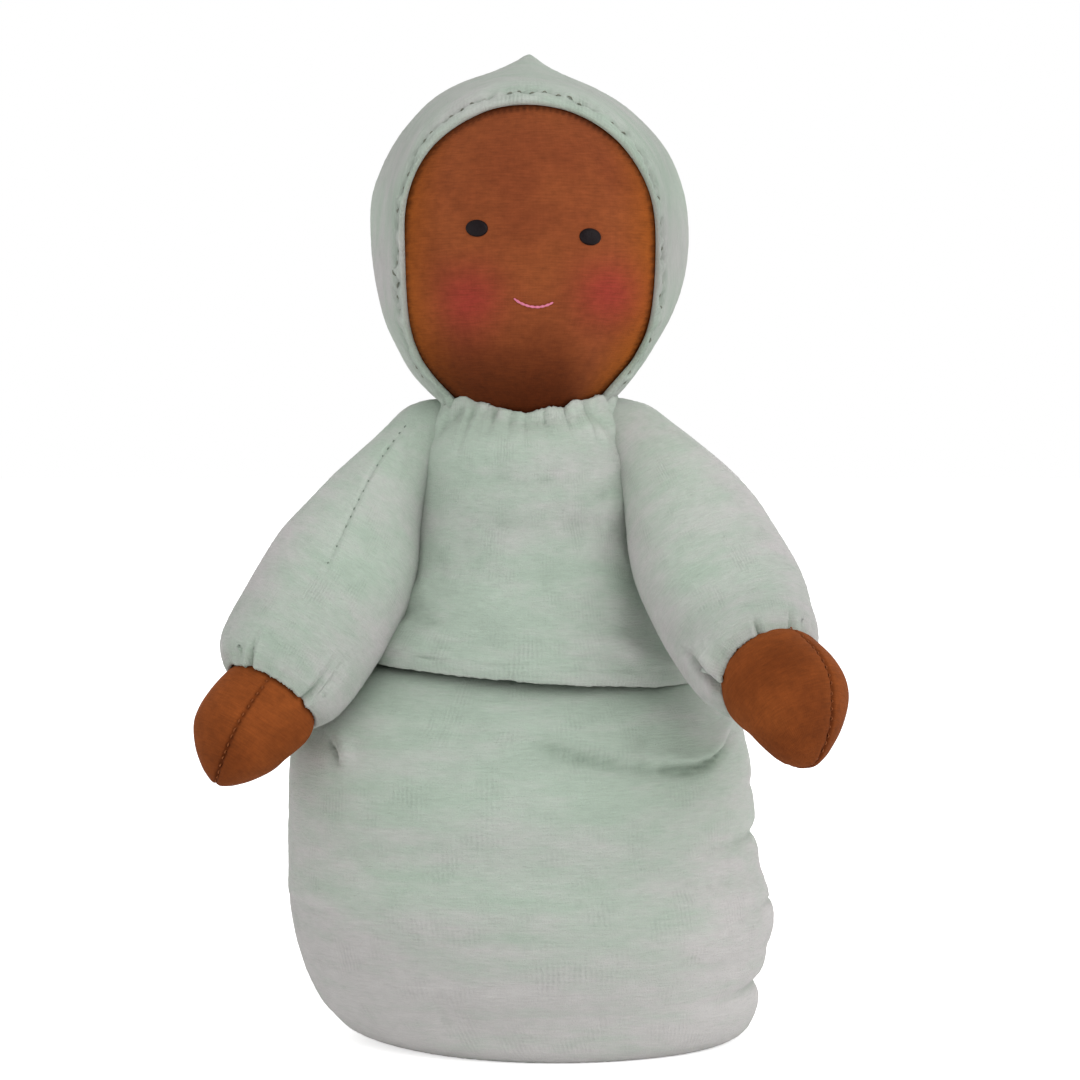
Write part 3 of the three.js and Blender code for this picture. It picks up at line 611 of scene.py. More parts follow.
# Each row: height above the head's opening, reach to the right and left, and half depth, as
# shares of the CAD's. The chin is fuller on the doll's right.
head_shares = [
    (-0.075, 0.385, 0.375, 0.375), (-0.035, 0.43, 0.41, 0.43), (0.000, 0.49, 0.455, 0.49),
    (0.030, 0.555, 0.50, 0.55), (0.067, 0.64, 0.575, 0.635), (0.120, 0.745, 0.67, 0.74),
    (0.180, 0.822, 0.762, 0.825), (0.290, 0.925, 0.89, 0.925), (0.430, 0.988, 0.975, 0.985),
    (0.570, 1.005, 0.995, 1.0), (0.680, 0.975, 0.96, 0.97), (0.800, 0.86, 0.835, 0.855),
    (0.900, 0.655, 0.63, 0.655), (0.960, 0.425, 0.41, 0.425), (0.990, 0.19, 0.19, 0.20),
    (0.998, 0.04, 0.04, 0.04),
]
cheeks = [(-18.7, 239.9), (24.8, 242.1)]  # across and up, in mm, seen from the front
cheek_radius = 9.6 * mm

# Cotton jersey, a thin matt knit: its courses cross it as short dark lines and the dye is a little
# uneven. It is painted warmer where it turns away, a painted rim sheen, and darker with painted
# shade at the chin, towards the fingertips, in its seams and beside the hood's hem.
wale_spacing = 0.95 * mm
course = (5.5 * mm, 0.55 * mm)
jersey_mottle = 4.2 * mm
dye_patch = 26 * mm
jersey, tree = bare_material("cotton_jersey")
cloth_map = add_node(tree, "UVMap", {}, uv_map="UVMap")
blush, dark, warm, pressed = (
    add_node(tree, "Attribute", {}, "Fac", attribute_name=name)
    for name in ("blush", "dark", "warm", "pressed")
)
wales = add_node(
    tree,
    "TexWave",
    {
        "Vector": cloth_map,
        "Scale": wave_band / wale_spacing,
        "Distortion": 1.2,
        "Detail": 2.0,
        "Detail Scale": 1.6,
    },
    "Fac",
    wave_type="BANDS",
    bands_direction="X",
)
course_map = add_node(
    tree, "Mapping", {"Vector": cloth_map, "Scale": (1 / course[0], 1 / course[1], 1.0)}
)
courses, mottle, dye = (
    add_node(
        tree,
        "TexNoise",
        {"Vector": place, "Scale": scale, "Detail": detail, "Roughness": roughness},
        "Fac",
    )
    for place, scale, detail, roughness in (
        (course_map, 1.0, 4.0, 0.7),
        (cloth_map, 1 / jersey_mottle, 5.0, 0.68),
        (cloth_map, 1 / dye_patch, 2.0, 0.5),
    )
)
dye_spread = add_node(tree, "MapRange", {"Value": dye, "From Min": 0.35, "From Max": 0.65})
crayon_show = add_node(tree, "Math", {0: courses, 1: 0.7, 2: 0.35}, operation="MULTIPLY_ADD")
crayon = add_node(tree, "Math", {0: blush, 1: crayon_show}, operation="MULTIPLY", use_clamp=True)
# The brown goes warmer with the hands' own warmth and the face's painted rim sheen, darker with painted
# shade, and red where crayoned.
brown = linear("#7a3d21")
tints = ((dye_spread, "#864625"), (warm, "#914c12"), (dark, "#471b03"), (crayon, "#93302d"))
for amount, tint in tints:
    brown = add_node(tree, "MixRGB", {"Fac": amount, "Color1": brown, "Color2": linear(tint)})
# Brightness: mottle, courses and wales, less a painted shadow line beside the hood's hem.
shade = 0.24
for part, weight in ((mottle, 0.8), (courses, 0.78), (wales, -0.02), (pressed, -0.6)):
    shade = add_node(tree, "Math", {0: part, 1: weight, 2: shade}, operation="MULTIPLY_ADD")
relief = add_node(tree, "Math", {0: wales, 1: -0.1, 2: courses}, operation="MULTIPLY_ADD")
surface = add_node(
    tree,
    "BsdfPrincipled",
    {
        "Base Color": add_node(tree, "HueSaturation", {"Color": brown, "Value": shade}),
        "Roughness": 0.9,
        "Specular IOR Level": 0.12,
        "Sheen Weight": 0.08,
        "Sheen Roughness": 0.4,
        "Sheen Tint": linear("#d8863c"),
        "Normal": add_node(tree, "Bump", {"Height": relief, "Strength": 0.6, "Distance": 0.25 * mm}),
    },
)
add_node(tree, "OutputMaterial", {"Surface": surface})

head_rows = np.array(head_shares)[:, [0, 1, 2, 3, 3]] * (
    head_height, head_high.x, head_high.x, head_high.y, head_high.y
) + (head_low.z, 0, 0, 0, 0)
head_grid = rings(smooth_rows(head_rows, 150), 288)
head_grid = raised(head_grid, 0.25 * mm * lumps(head_grid, 22, seed=41))
head = ring_mesh("head_jersey", head_grid)
across, deep, up = np.moveaxis(head_grid, -1, 0)
crayoned = sum(bell(np.hypot(across - x * mm, up - z * mm), cheek_radius) for x, z in cheeks)
# The face is painted warmer towards its sides as a rim sheen, and darker towards the chin as painted
# shade, less so on the doll's left as painted light.
painted(
    head,
    blush=crayoned * (deep < 0),
    warm=eased(np.abs(across) / np.hypot(across, deep), 0.55, 0.98),
    dark=0.9 * (1 - eased(up, 208 * mm, 240 * mm)) - 0.6 * eased(across, 8 * mm, 24 * mm),
)
head.data.materials.append(jersey)
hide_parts("head_skin", "head_core")
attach(head, "head")

# Face: two eyes in satin stitch, dark brown strands laid side by side over a small oval pad, and
# a mouth of pink stem stitch. The face leans a little to the doll's left.
eye_centres = [("right", -16.3, 261.8), ("left", 18.8, 259.2)]  # across and up, in mm
eye_half_width = 3.6 * mm
eye_half_height = 2.65 * mm
eye_height = 1.35 * mm
eye_turn = np.radians(-4)
strand_spacing = 0.5 * mm
strand_depth = 0.12 * mm
mouth_line = [(-4.9, 240.2), (-2.4, 238.6), (1.0, 237.6), (4.4, 237.8), (7.4, 239.0)]
mouth_thread = 0.34 * mm
mouth_twist = 1.6 * mm


def thread_material(name, colour, glints, roughness, shine=0.15):
    """Spun thread: noise mixes its colour with a lighter one as painted glints, and a soft shine."""
    material, tree = bare_material(name)
    place = add_node(tree, "TexCoord", {}, "Object")
    strands = add_node(
        tree,
        "TexNoise",
        {"Vector": place, "Scale": 1 / (0.5 * mm), "Detail": 3.0, "Distortion": 0.6},
        "Fac",
    )
    tints = {"Fac": strands, "Color1": linear(colour), "Color2": linear(glints)}
    surface = add_node(
        tree,
        "BsdfPrincipled",
        {
            "Base Color": add_node(tree, "MixRGB", tints),
            "Roughness": roughness,
            "Specular IOR Level": shine,
            "Normal": add_node(tree, "Bump", {"Height": strands, "Distance": 0.08 * mm}),
        },
    )
    add_node(tree, "OutputMaterial", {"Surface": surface})
    return material


def on_front(grid, across, up):
    """Points of the grid's front at those places seen from the front, and the normals there: the
    nearest grid point's tangent plane gives the depth."""
    normals = normals_of(grid)
    ahead = normals[..., 1] < -0.05
    points = grid[ahead]
    normals = normals[ahead]
    aside = points[None, :, 0] - across[:, None]
    above = points[None, :, 2] - up[:, None]
    near = np.argmin(aside**2 + above**2, axis=1)
    normal = normals[near]
    away = (across - points[near, 0]) * normal[:, 0] + (up - points[near, 2]) * normal[:, 2]
    return np.stack([across, points[near, 1] - away / normal[:, 1], up], -1), normal


def thread_tube(path, normal, radius, twist_length, ends=6):
    """Rings round a path for a two-ply thread: a circle with two lobes that turn once in each
    twist length, drawn in at both ends."""
    tangent = unit(np.gradient(path, axis=0))
    side = unit(np.cross(tangent, normal))
    up = np.cross(side, tangent)
    turn = np.arange(12) * 2 * np.pi / 12
    lobes = 1 + 0.22 * np.cos(2 * (turn[None] - lengths_along(path)[:, None] / twist_length * np.pi))
    count = np.arange(len(path))
    close = np.minimum(np.minimum(count, count[::-1]) / ends, 1)
    size = radius * np.sqrt(1 - (1 - close) ** 2)[:, None] * lobes
    across, above = (size * np.cos(turn))[..., None], (size * np.sin(turn))[..., None]
    return path[:, None] + across * side[:, None] + above * up[:, None]


def inside_out(grid, row, centre):
    """Whether a grid's faces point inwards, at that row as seen from the centre."""
    return np.sum(normals_of(grid)[row] * (grid[row] - centre)) < 0


eye_thread = thread_material("dark_brown_satin_stitch", "#0b0607", "#1d1417", 0.36, 0.09)
for side, across, up in eye_centres:
    centre, outwards = on_front(head_grid, np.array([across * mm]), np.array([up * mm]))
    outwards = unit(outwards[0] * (1, 1, 0.4))
    level = unit(np.cross((0, 0, 1), outwards)) * (-1)
    level = unit(level * np.cos(eye_turn) + np.cross(outwards, level) * np.sin(eye_turn))
    upward = np.cross(level, -outwards)
    upward = upward * np.sign(upward[2])
    rise = np.linspace(-0.55, 1, 22)[:, None]
    spin = np.arange(72) * 2 * np.pi / 72
    reach = np.cos(rise * np.pi / 2 * 0.995) ** 0.8
    wide = reach * np.cos(spin) * eye_half_width
    tall = reach * np.sin(spin) * eye_half_height
    strands = 0.5 + 0.5 * np.cos(wide / strand_spacing * 2 * np.pi)
    lift = np.sin(rise * np.pi / 2) * eye_height - strand_depth * (1 - strands) * (rise > 0)
    eye_grid = centre[0] + wide[..., None] * level + tall[..., None] * upward
    eye_grid = eye_grid + lift[..., None] * outwards
    if inside_out(eye_grid, 12, centre[0]):
        eye_grid = eye_grid[:, ::-1]
    eye = ring_mesh("eye_stitches_" + side, eye_grid)
    eye.data.materials.append(eye_thread)
    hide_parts("eye_" + side)
    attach(eye, "head")

mouth_points = smooth_rows(np.array(mouth_line) * mm, 61)
mouth_path, mouth_normal = on_front(head_grid, mouth_points[:, 0], mouth_points[:, 1])
arch = 0.1 + 0.5 * np.abs(np.sin(np.linspace(0, 1, 61) * 4 * np.pi))  # four stitches, sunk between
mouth_path = mouth_path + mouth_normal * (mouth_thread * arch)[:, None]
mouth = ring_mesh("mouth_stitches", thread_tube(mouth_path, mouth_normal, mouth_thread, mouth_twist))
mouth.data.materials.append(thread_material("pink_stem_stitch", "#b9577a", "#e790a8", 0.5))
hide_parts("mouth_stitch")
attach(mouth, "head")

# Hood: velour drawn over the head, sewn down the back and up to a soft peak. Its front edge is
# rolled into a puffy hem, held by a row of running stitches, and its ends go under the neckline.
hood_low = 204.0 * mm
hood_gap = 0.35 * mm
hood_thickness = 1.75 * mm
hood_centre = np.array([0, 4, 256]) * mm
crown_swell = np.array([-24, 0, 306]) * mm
hood_sides = 480
peak_rise = 8.0 * mm
peak_spread = 7.4 * mm
peak_lean = 1.2 * mm  # how much wider the peak spreads to the doll's right than in front
stitch_line = 4.6 * mm
# The opening for the face, from its low right corner over the top: across and up, in mm.
opening = [(-19.3, 204), (-22.8, 209), (-29.2, 215.5), (-34.0, 222), (-37.2, 231), (-38.6, 242)]
opening += [(-38.9, 256), (-38.2, 268), (-35.2, 278.5), (-29.8, 287), (-22.4, 293.2), (-14, 297.4)]
opening += [(-6.5, 299.3), (0, 299.8), (6.5, 299.3), (14, 297.2), (22.6, 292.4), (30, 285.8)]
opening += [(35.4, 277.5), (38.2, 268), (38.9, 256), (38.4, 242), (36.2, 231), (31.8, 222)]
opening += [(26.4, 215.5), (20.8, 209), (17.7, 204)]
# How far the outer side stands off the head, at distances from the opening's edge, in mm.
hem_profile = [(1.55, 2.75), (2.4, 3.1), (3.4, 3.0), (4.6, 2.5), (5.8, 2.8), (7.5, 2.95)]
hem_profile += [(11, 2.7), (16, 2.4), (22, 2.2)]
stitch_length = 1.9 * mm
stitch_gap = 2.2 * mm
stitch_dent = 1.0 * mm


def on_head(directions):
    """Where rays from the hood's centre leave the head's form: halving the reach thirty times
    between inside and outside, where ((x - middle) / half width)^2 + (y / half depth)^2 is 1."""
    rows = smooth_rows(head_rows, 400)
    near = np.zeros(directions.shape[:-1])
    far = np.full(directions.shape[:-1], 90 * mm)
    for _ in range(30):
        reach = (near + far) / 2
        points = hood_centre + directions * reach[..., None]
        right, left, deep = (
            np.interp(points[..., 2], rows[:, 0], rows[:, way], left=0, right=0) for way in (1, 2, 3)
        )
        across = (points[..., 0] - (left - right) / 2) / ((left + right) / 2 + 1e-9)
        inside = across**2 + (points[..., 1] / (deep + 1e-9)) ** 2 < 1
        near = np.where(inside, reach, near)
        far = np.where(inside, far, reach)
    return hood_centre + directions * near[..., None]


front_edge = smooth_rows(np.array(opening) * mm, 240)
edge_points, _ = on_front(head_grid, front_edge[:, 0], front_edge[:, 1])
start_turn = np.arctan2(edge_points[-1, 1], edge_points[-1, 0])
end_turn = np.arctan2(edge_points[0, 1], edge_points[0, 0]) + 2 * np.pi
neck_turn = np.linspace(start_turn, end_turn, 160)[1:-1]
right, left, deep = (np.interp(hood_low, head_rows[:, 0], head_rows[:, way]) for way in (1, 2, 3))
neck_across = (left - right) / 2 + np.cos(neck_turn) * (left + right) / 2
neck_edge = np.stack([neck_across, np.sin(neck_turn) * deep, np.full(len(neck_turn), hood_low)], -1)
loop = np.concatenate([edge_points, neck_edge, edge_points[:1]])
loop_length = lengths_along(loop)
# The way from the hood's centre to the point that all of its columns meet in.
middle = unit(np.array([0, 0.424, 0.906]))
loop_turn = np.unwrap(np.arctan2(loop[:, 0], (loop - hood_centre) @ np.cross(middle, (1, 0, 0))))
turned = loop_turn - loop_turn[0]
loop_share = 0.7 * loop_length / loop_length[-1] + 0.3 * turned / turned[-1]
even = np.interp(np.arange(hood_sides) / hood_sides, loop_share, loop_length)
loop = sampled(loop, loop_length, even)
front_length = lengths_along(edge_points)[-1]
at_hem = np.minimum(eased(even, 0, 6 * mm), 1 - eased(even, front_length - 6 * mm, front_length))

heading = unit(loop - hood_centre)
sweep = np.arccos(np.clip(heading @ middle, -1, 1))
arc = sweep * np.linalg.norm(loop - hood_centre, axis=1)
near_edge = np.array([0.01, 0.8, 1.55, 2.3, 3.1, 3.9, 4.6, 5.3, 6.1, 7.2, 8.6, 10.2, 12]) * mm
onward = np.linspace(0, 1, 56)[1:] * 0.994
distance = np.concatenate([
    np.broadcast_to(near_edge[:, None], (len(near_edge), hood_sides)),
    near_edge[-1] + onward[:, None] * (arc - near_edge[-1]),
])
swing = sweep * distance / arc
directions = np.sin(sweep - swing)[..., None] * heading + np.sin(swing)[..., None] * middle
under_hood = on_head(unit(directions / np.sin(sweep)[:, None]))
away = -normals_of(under_hood)
away = away * np.sign(np.sum(away * (under_hood - hood_centre), axis=-1, keepdims=True))
profile = smooth_rows(np.array(hem_profile) * mm, 60)
plain = hood_gap + hood_thickness
stand_off = plain + (np.interp(distance, profile[:, 0], profile[:, 1]) - plain) * at_hem
pucker = lumps(under_hood, 3.2, seed=51) + 0.8 * lumps(under_hood, 1.7, seed=54)
pucker = pucker * bell(distance - stitch_line, 3.2 * mm)
stand_off = stand_off + 0.4 * mm * pucker * at_hem
stand_off = stand_off + 0.2 * mm * lumps(under_hood, (26, 26, 14), seed=52)
high_right = np.linalg.norm((under_hood - crown_swell) / (14 * mm, 26 * mm, 12 * mm), axis=-1)
stand_off = stand_off + 1.5 * mm * bell(high_right, 1)
outer = under_hood + away * stand_off[..., None]
inner = under_hood + away * hood_gap
crown_away = np.sqrt(under_hood[..., 0] ** 2 + under_hood[..., 1] ** 2 + (1.2 * mm) ** 2)
spread = peak_spread - peak_lean * under_hood[..., 0] / crown_away
peak = peak_rise * np.exp(-crown_away / spread) * (under_hood[..., 2] > hood_centre[2])
outer[..., 2] += peak
inner[..., 2] += 0.8 * peak
# A narrow painted shadow line on the jersey beside the hood's hem.
beside_edge = np.linalg.norm(head_grid[:, :, None, ::2] - edge_points[::2, ::2], axis=-1).min(axis=-1)
painted(head, pressed=bell(beside_edge, 0.9 * mm) * (head_grid[..., 1] < 0))


def dashes(path, normal, stitch, gap, wander, seed, shown=1.0):
    """Starts, ends and normals of stitches of that length and gap along a path, each set a little
    aside and made a little longer or shorter at random. Only that share of them is shown."""
    draw = np.random.default_rng(seed)
    length = lengths_along(path)
    count = int(length[-1] / (stitch + gap))
    begin = (np.arange(count) + 0.3) * length[-1] / count + draw.uniform(-0.2, 0.2, count) * gap
    begin = begin[draw.random(count) < shown]
    count = len(begin)
    finish = begin + stitch * draw.uniform(0.75, 1.15, count)
    aside = unit(np.cross(np.gradient(path, axis=0), normal))
    shift = draw.normal(size=count) * wander
    end_shift = shift + draw.normal(size=count) * wander
    starts, ends = (
        sampled(path, length, places) + sampled(aside, length, places) * shifted[:, None]
        for places, shifted in ((begin, shift), (finish, end_shift))
    )
    return starts, ends, unit(sampled(normal, length, begin))


def dented(grid, away, starts, ends, depth, width):
    """The grid with a Gaussian dent along each segment from starts to ends, pushed in against the
    directions away: a point takes the depth of the segment that is nearest to it."""
    step = ends - starts
    offset = grid[..., None, :] - starts
    t = np.clip(np.sum(offset * step, axis=-1) / np.sum(step * step, axis=-1), 0, 1)
    nearest = np.linalg.norm(offset - t[..., None] * step, axis=-1).min(axis=-1)
    return grid - away * (depth * bell(nearest, width))[..., None]


def stitches(name, dashes_of_row, radius, sunk):
    """A row of short stitches as one mesh: each is an arched six-sided thread from its start to
    its end, thinner towards both, whose ends are sunk in the cloth."""
    starts, ends, normals = dashes_of_row
    share = np.linspace(0, 1, 7)
    tangent = ends - starts
    side = unit(np.cross(tangent, normals))
    up = unit(np.cross(side, tangent))
    arch = np.sin(np.pi * share)
    lift = (arch * (radius + sunk))[None] - sunk
    middle = starts[:, None] + share[None, :, None] * tangent[:, None] + lift[..., None] * up[:, None]
    turn = np.arange(6) * 2 * np.pi / 6
    thick = radius * (0.25 + 0.75 * np.sqrt(arch))
    round_it = np.cos(turn)[:, None] * side[:, None, None] + np.sin(turn)[:, None] * up[:, None, None]
    points = middle[:, :, None] + thick[None, :, None, None] * round_it
    first = np.arange(len(starts))[:, None, None] * 7 * 6
    ring = first + np.arange(6)[None, :, None] * 6
    around = np.arange(6)[None, None, :]
    following = (around + 1) % 6
    quads = np.stack([ring + around, ring + 6 + around, ring + 6 + following, ring + following], -1)
    caps = np.concatenate([first[:, 0] + np.arange(6), first[:, 0] + 7 * 6 - 1 - np.arange(6)])
    mesh = bpy.data.meshes.new(name)
    mesh.from_pydata(points.reshape(-1, 3), [], [*quads.reshape(-1, 4).tolist(), *caps.tolist()])
    mesh.shade_smooth()
    return placed(name, mesh)


on_line = at_hem > 0.5
starts, ends, upward = dashes(
    outer[6][on_line], away[6][on_line], stitch_length, stitch_gap, wander=0.5 * mm, seed=61, shown=0.82
)
outer[:20] = dented(outer[:20], away[:20], starts, ends, stitch_dent, 1.2 * mm)
hem_dashes = (starts - 0.5 * stitch_dent * upward, ends - 0.5 * stitch_dent * upward, upward)
nose_radius = (stand_off[2] - hood_gap) / 2
nose_centre = under_hood[2] + away[2] * (hood_gap + nose_radius)[:, None]
forward = unit(under_hood[2] - under_hood[5])
nose_turn = np.linspace(0, np.pi, 11)[1:-1, None, None]
nose = nose_centre + nose_radius[:, None] * (np.cos(nose_turn) * away[2] + np.sin(nose_turn) * forward)
hood_grid = np.concatenate([outer[:1:-1], nose, inner[2:]])
turned_rows = np.concatenate([distance[:1:-1], np.zeros((9, hood_sides)), 0.9 * distance[2:]])
opened_part = (1 - eased(turned_rows, 1.6 * mm, 3.2 * mm)) * at_hem
to_middle = arc - distance
to_middle = np.concatenate([to_middle[:1:-1], to_middle[:9], to_middle[2:]])
clear_of_middle = eased(to_middle, 6 * mm, 20 * mm)
if inside_out(hood_grid, 30, hood_centre):
    hood_grid, opened_part, clear_of_middle = (
        part[:, ::-1] for part in (hood_grid, opened_part, clear_of_middle)
    )
is_outer = (np.arange(len(hood_grid)) < len(outer) - 2)[:, None]
seam_line = bell(hood_grid[..., 0], 1.1 * mm) * eased(hood_grid[..., 1], 0, 14 * mm)
hood_grid = raised(hood_grid, -0.9 * mm * seam_line * is_outer)
fuzz = np.random.default_rng(53).normal(size=hood_grid.shape[:2])
hood_grid = raised(hood_grid, 0.04 * mm * fuzz * is_outer)

hood = ring_mesh("hood_velour", hood_grid)
# The hood is darker towards the doll's left, and has painted shade in its hollows away from its peak.
nap_turned = 0.25 * eased(hood_grid[..., 0], 28 * mm, 46 * mm)
painted(
    hood,
    tone=0.4 + 0.2 * lumps(hood_grid, (30, 30, 14), seed=55),
    hollow=0.05 + nap_turned + 0.8 * clear_of_middle * sunken(hood_grid, 0.9 * mm),
    opened=opened_part,
    brushed=0.25,
)
hood.data.materials.append(velour)
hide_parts("hood")
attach(hood, "head")

hem_thread = thread_material("grey_brown_hem_thread", "#6b6c61", "#95988c", 0.8)
hem_stitches = stitches("hood_hem_stitches", hem_dashes, radius=0.25 * mm, sunk=0.25 * mm)
hem_stitches.data.materials.append(hem_thread)
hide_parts("hood_hem_stitch")
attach(hem_stitches, "head")

seam_column = int(np.argmin(np.abs(loop[:, 0]) + (loop[:, 1] < 0) * 1.0))
top_column = int(np.argmin(np.abs(loop[:, 0]) + (loop[:, 1] > 0) * 1.0))
over_top = outer[12:, top_column]
over_top = over_top[over_top[:, 1] > 6 * mm]
back_path = np.concatenate([over_top, outer[6:, seam_column][::-1]])
back_path[:, 0] = 0
back_normal = unit(back_path - hood_centre)
back_path = back_path - back_normal * 0.7 * mm
green_thread = thread_material("pale_green_thread", "#93a194", "#b4bfb4", 0.75)
back_dashes = dashes(back_path, back_normal, 2.2 * mm, 1.4 * mm, wander=0.1 * mm, seed=62)
back_stitches = stitches("hood_back_seam_stitches", back_dashes, radius=0.3 * mm, sunk=0.3 * mm)
back_stitches.data.materials.append(green_thread)
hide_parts("hood_back_seam")
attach(back_stitches, "head")

# Sleeves: tubes of velour filled with wool, closed along their length by one seam, sewn into the
# bodice at a rounded crown and gathered in over the hands at the cuff.
sleeve_sides = 64
sleeve_rows = 40
# Each row: distance down the arm, reach outwards, reach inwards, and half depth, as shares of the
# CAD's.
sleeve_shares = {
    "right": [
        (-0.125, 0.08, 0.08, 0.10), (-0.118, 0.22, 0.16, 0.22), (-0.092, 0.39, 0.24, 0.36),
        (-0.050, 0.54, 0.30, 0.46), (-0.005, 0.62, 0.33, 0.54), (0.080, 0.675, 0.29, 0.66),
        (0.170, 0.75, 0.31, 0.77), (0.300, 0.875, 0.47, 0.87), (0.420, 0.965, 0.69, 0.93),
        (0.530, 1.05, 0.82, 0.97), (0.660, 1.06, 0.87, 1.0), (0.760, 1.05, 0.865, 1.0),
        (0.840, 1.04, 0.85, 0.99), (0.905, 1.01, 0.82, 0.95), (0.950, 0.94, 0.78, 0.88),
        (0.980, 0.83, 0.71, 0.80), (1.000, 0.72, 0.64, 0.755),
    ],
    "left": [
        (-0.125, 0.04, 0.30, 0.14), (-0.118, 0.12, 0.47, 0.34), (-0.092, 0.30, 0.58, 0.54),
        (-0.050, 0.44, 0.59, 0.66), (-0.010, 0.555, 0.55, 0.73), (0.080, 0.69, 0.46, 0.79),
        (0.170, 0.83, 0.40, 0.84), (0.300, 1.02, 0.50, 0.89), (0.420, 1.125, 0.66, 0.93),
        (0.530, 1.14, 0.77, 0.97), (0.660, 1.14, 0.83, 1.0), (0.760, 1.09, 0.85, 1.0),
        (0.840, 1.00, 0.84, 0.99), (0.905, 0.94, 0.81, 0.95), (0.950, 0.86, 0.75, 0.88),
        (0.980, 0.76, 0.66, 0.80), (1.000, 0.665, 0.575, 0.755),
    ],
}
sleeve_grey = {"right": 0.3, "left": 0.42}
cuff_roll = 0.9 * mm
cuff_turned_in = 6 * mm
cuff_front_rise = {"right": 3.2 * mm, "left": 7.3 * mm}
sleeve_seam_depth = 0.75 * mm
# Pleats at the cuffs: degrees round the sleeve from its front towards the doll's left, depth,
# half width and length in mm.
cuff_pleats = {
    "right": [(-36, 1.6, 0.9, 8), (44, 1.9, 1.0, 12), (4, 0.4, 0.9, 4), (-68, 0.6, 1.0, 6)],
    "left": [(-44, 0.5, 0.9, 6), (6, 1.6, 0.9, 4), (46, 1.3, 0.9, 8), (74, 0.6, 1.0, 6)],
}
# Folds seen from the front, as the sack's are.
sleeve_folds = {
    "right": [
        ([(-58, 128), (-62, 121), (-67, 116)], 1.2, 1.4, 1.0),
        ([(-36, 150), (-44, 134), (-52, 122)], 0.5, 4, 0.5),
    ],
    "left": [
        ([(48.5, 131.5), (52.5, 126), (57, 122), (62.5, 119.5)], 4.2, 1.3, 2.3),
        ([(33, 165), (37, 150), (42, 138)], 0.5, 4.5, 0.5),
    ],
}
# Where the seam lies round the sleeve, at the shoulder and at the wrist, in degrees as above. The
# right sleeve's shows from the front, and the left one's is behind.
seam_turn = {"right": (-41, 9), "left": (170, 170)}
seam_thread = thread_material("grey_green_seam_thread", "#6f7b70", "#8f9c8f", 0.8)


def node_points(name):
    """The points of a CAD node."""
    data = frame["nodes"][name].data
    points = np.empty(len(data.vertices) * 3)
    data.vertices.foreach_get("co", points)
    return points.reshape(-1, 3)


def arm_frame(side):
    """The shoulder, the wrist, and the arm's own axes as columns: across, depth and up it."""
    shoulder = np.array(joint_called["arm_swing_" + side]["pos_m"])
    wrist = np.array(joint_called["wrist_bend_" + side]["pos_m"])
    up = unit(shoulder - wrist)
    depth = unit(np.cross(up, (1, 0, 0)))
    return shoulder, wrist, np.stack([np.cross(depth, up), depth, up], axis=1)


def rethreaded(node, thread):
    """Gives a CAD node that stays as it is a thread's material."""
    materials = frame["nodes"][node].data.materials
    materials.clear()
    materials.append(thread)


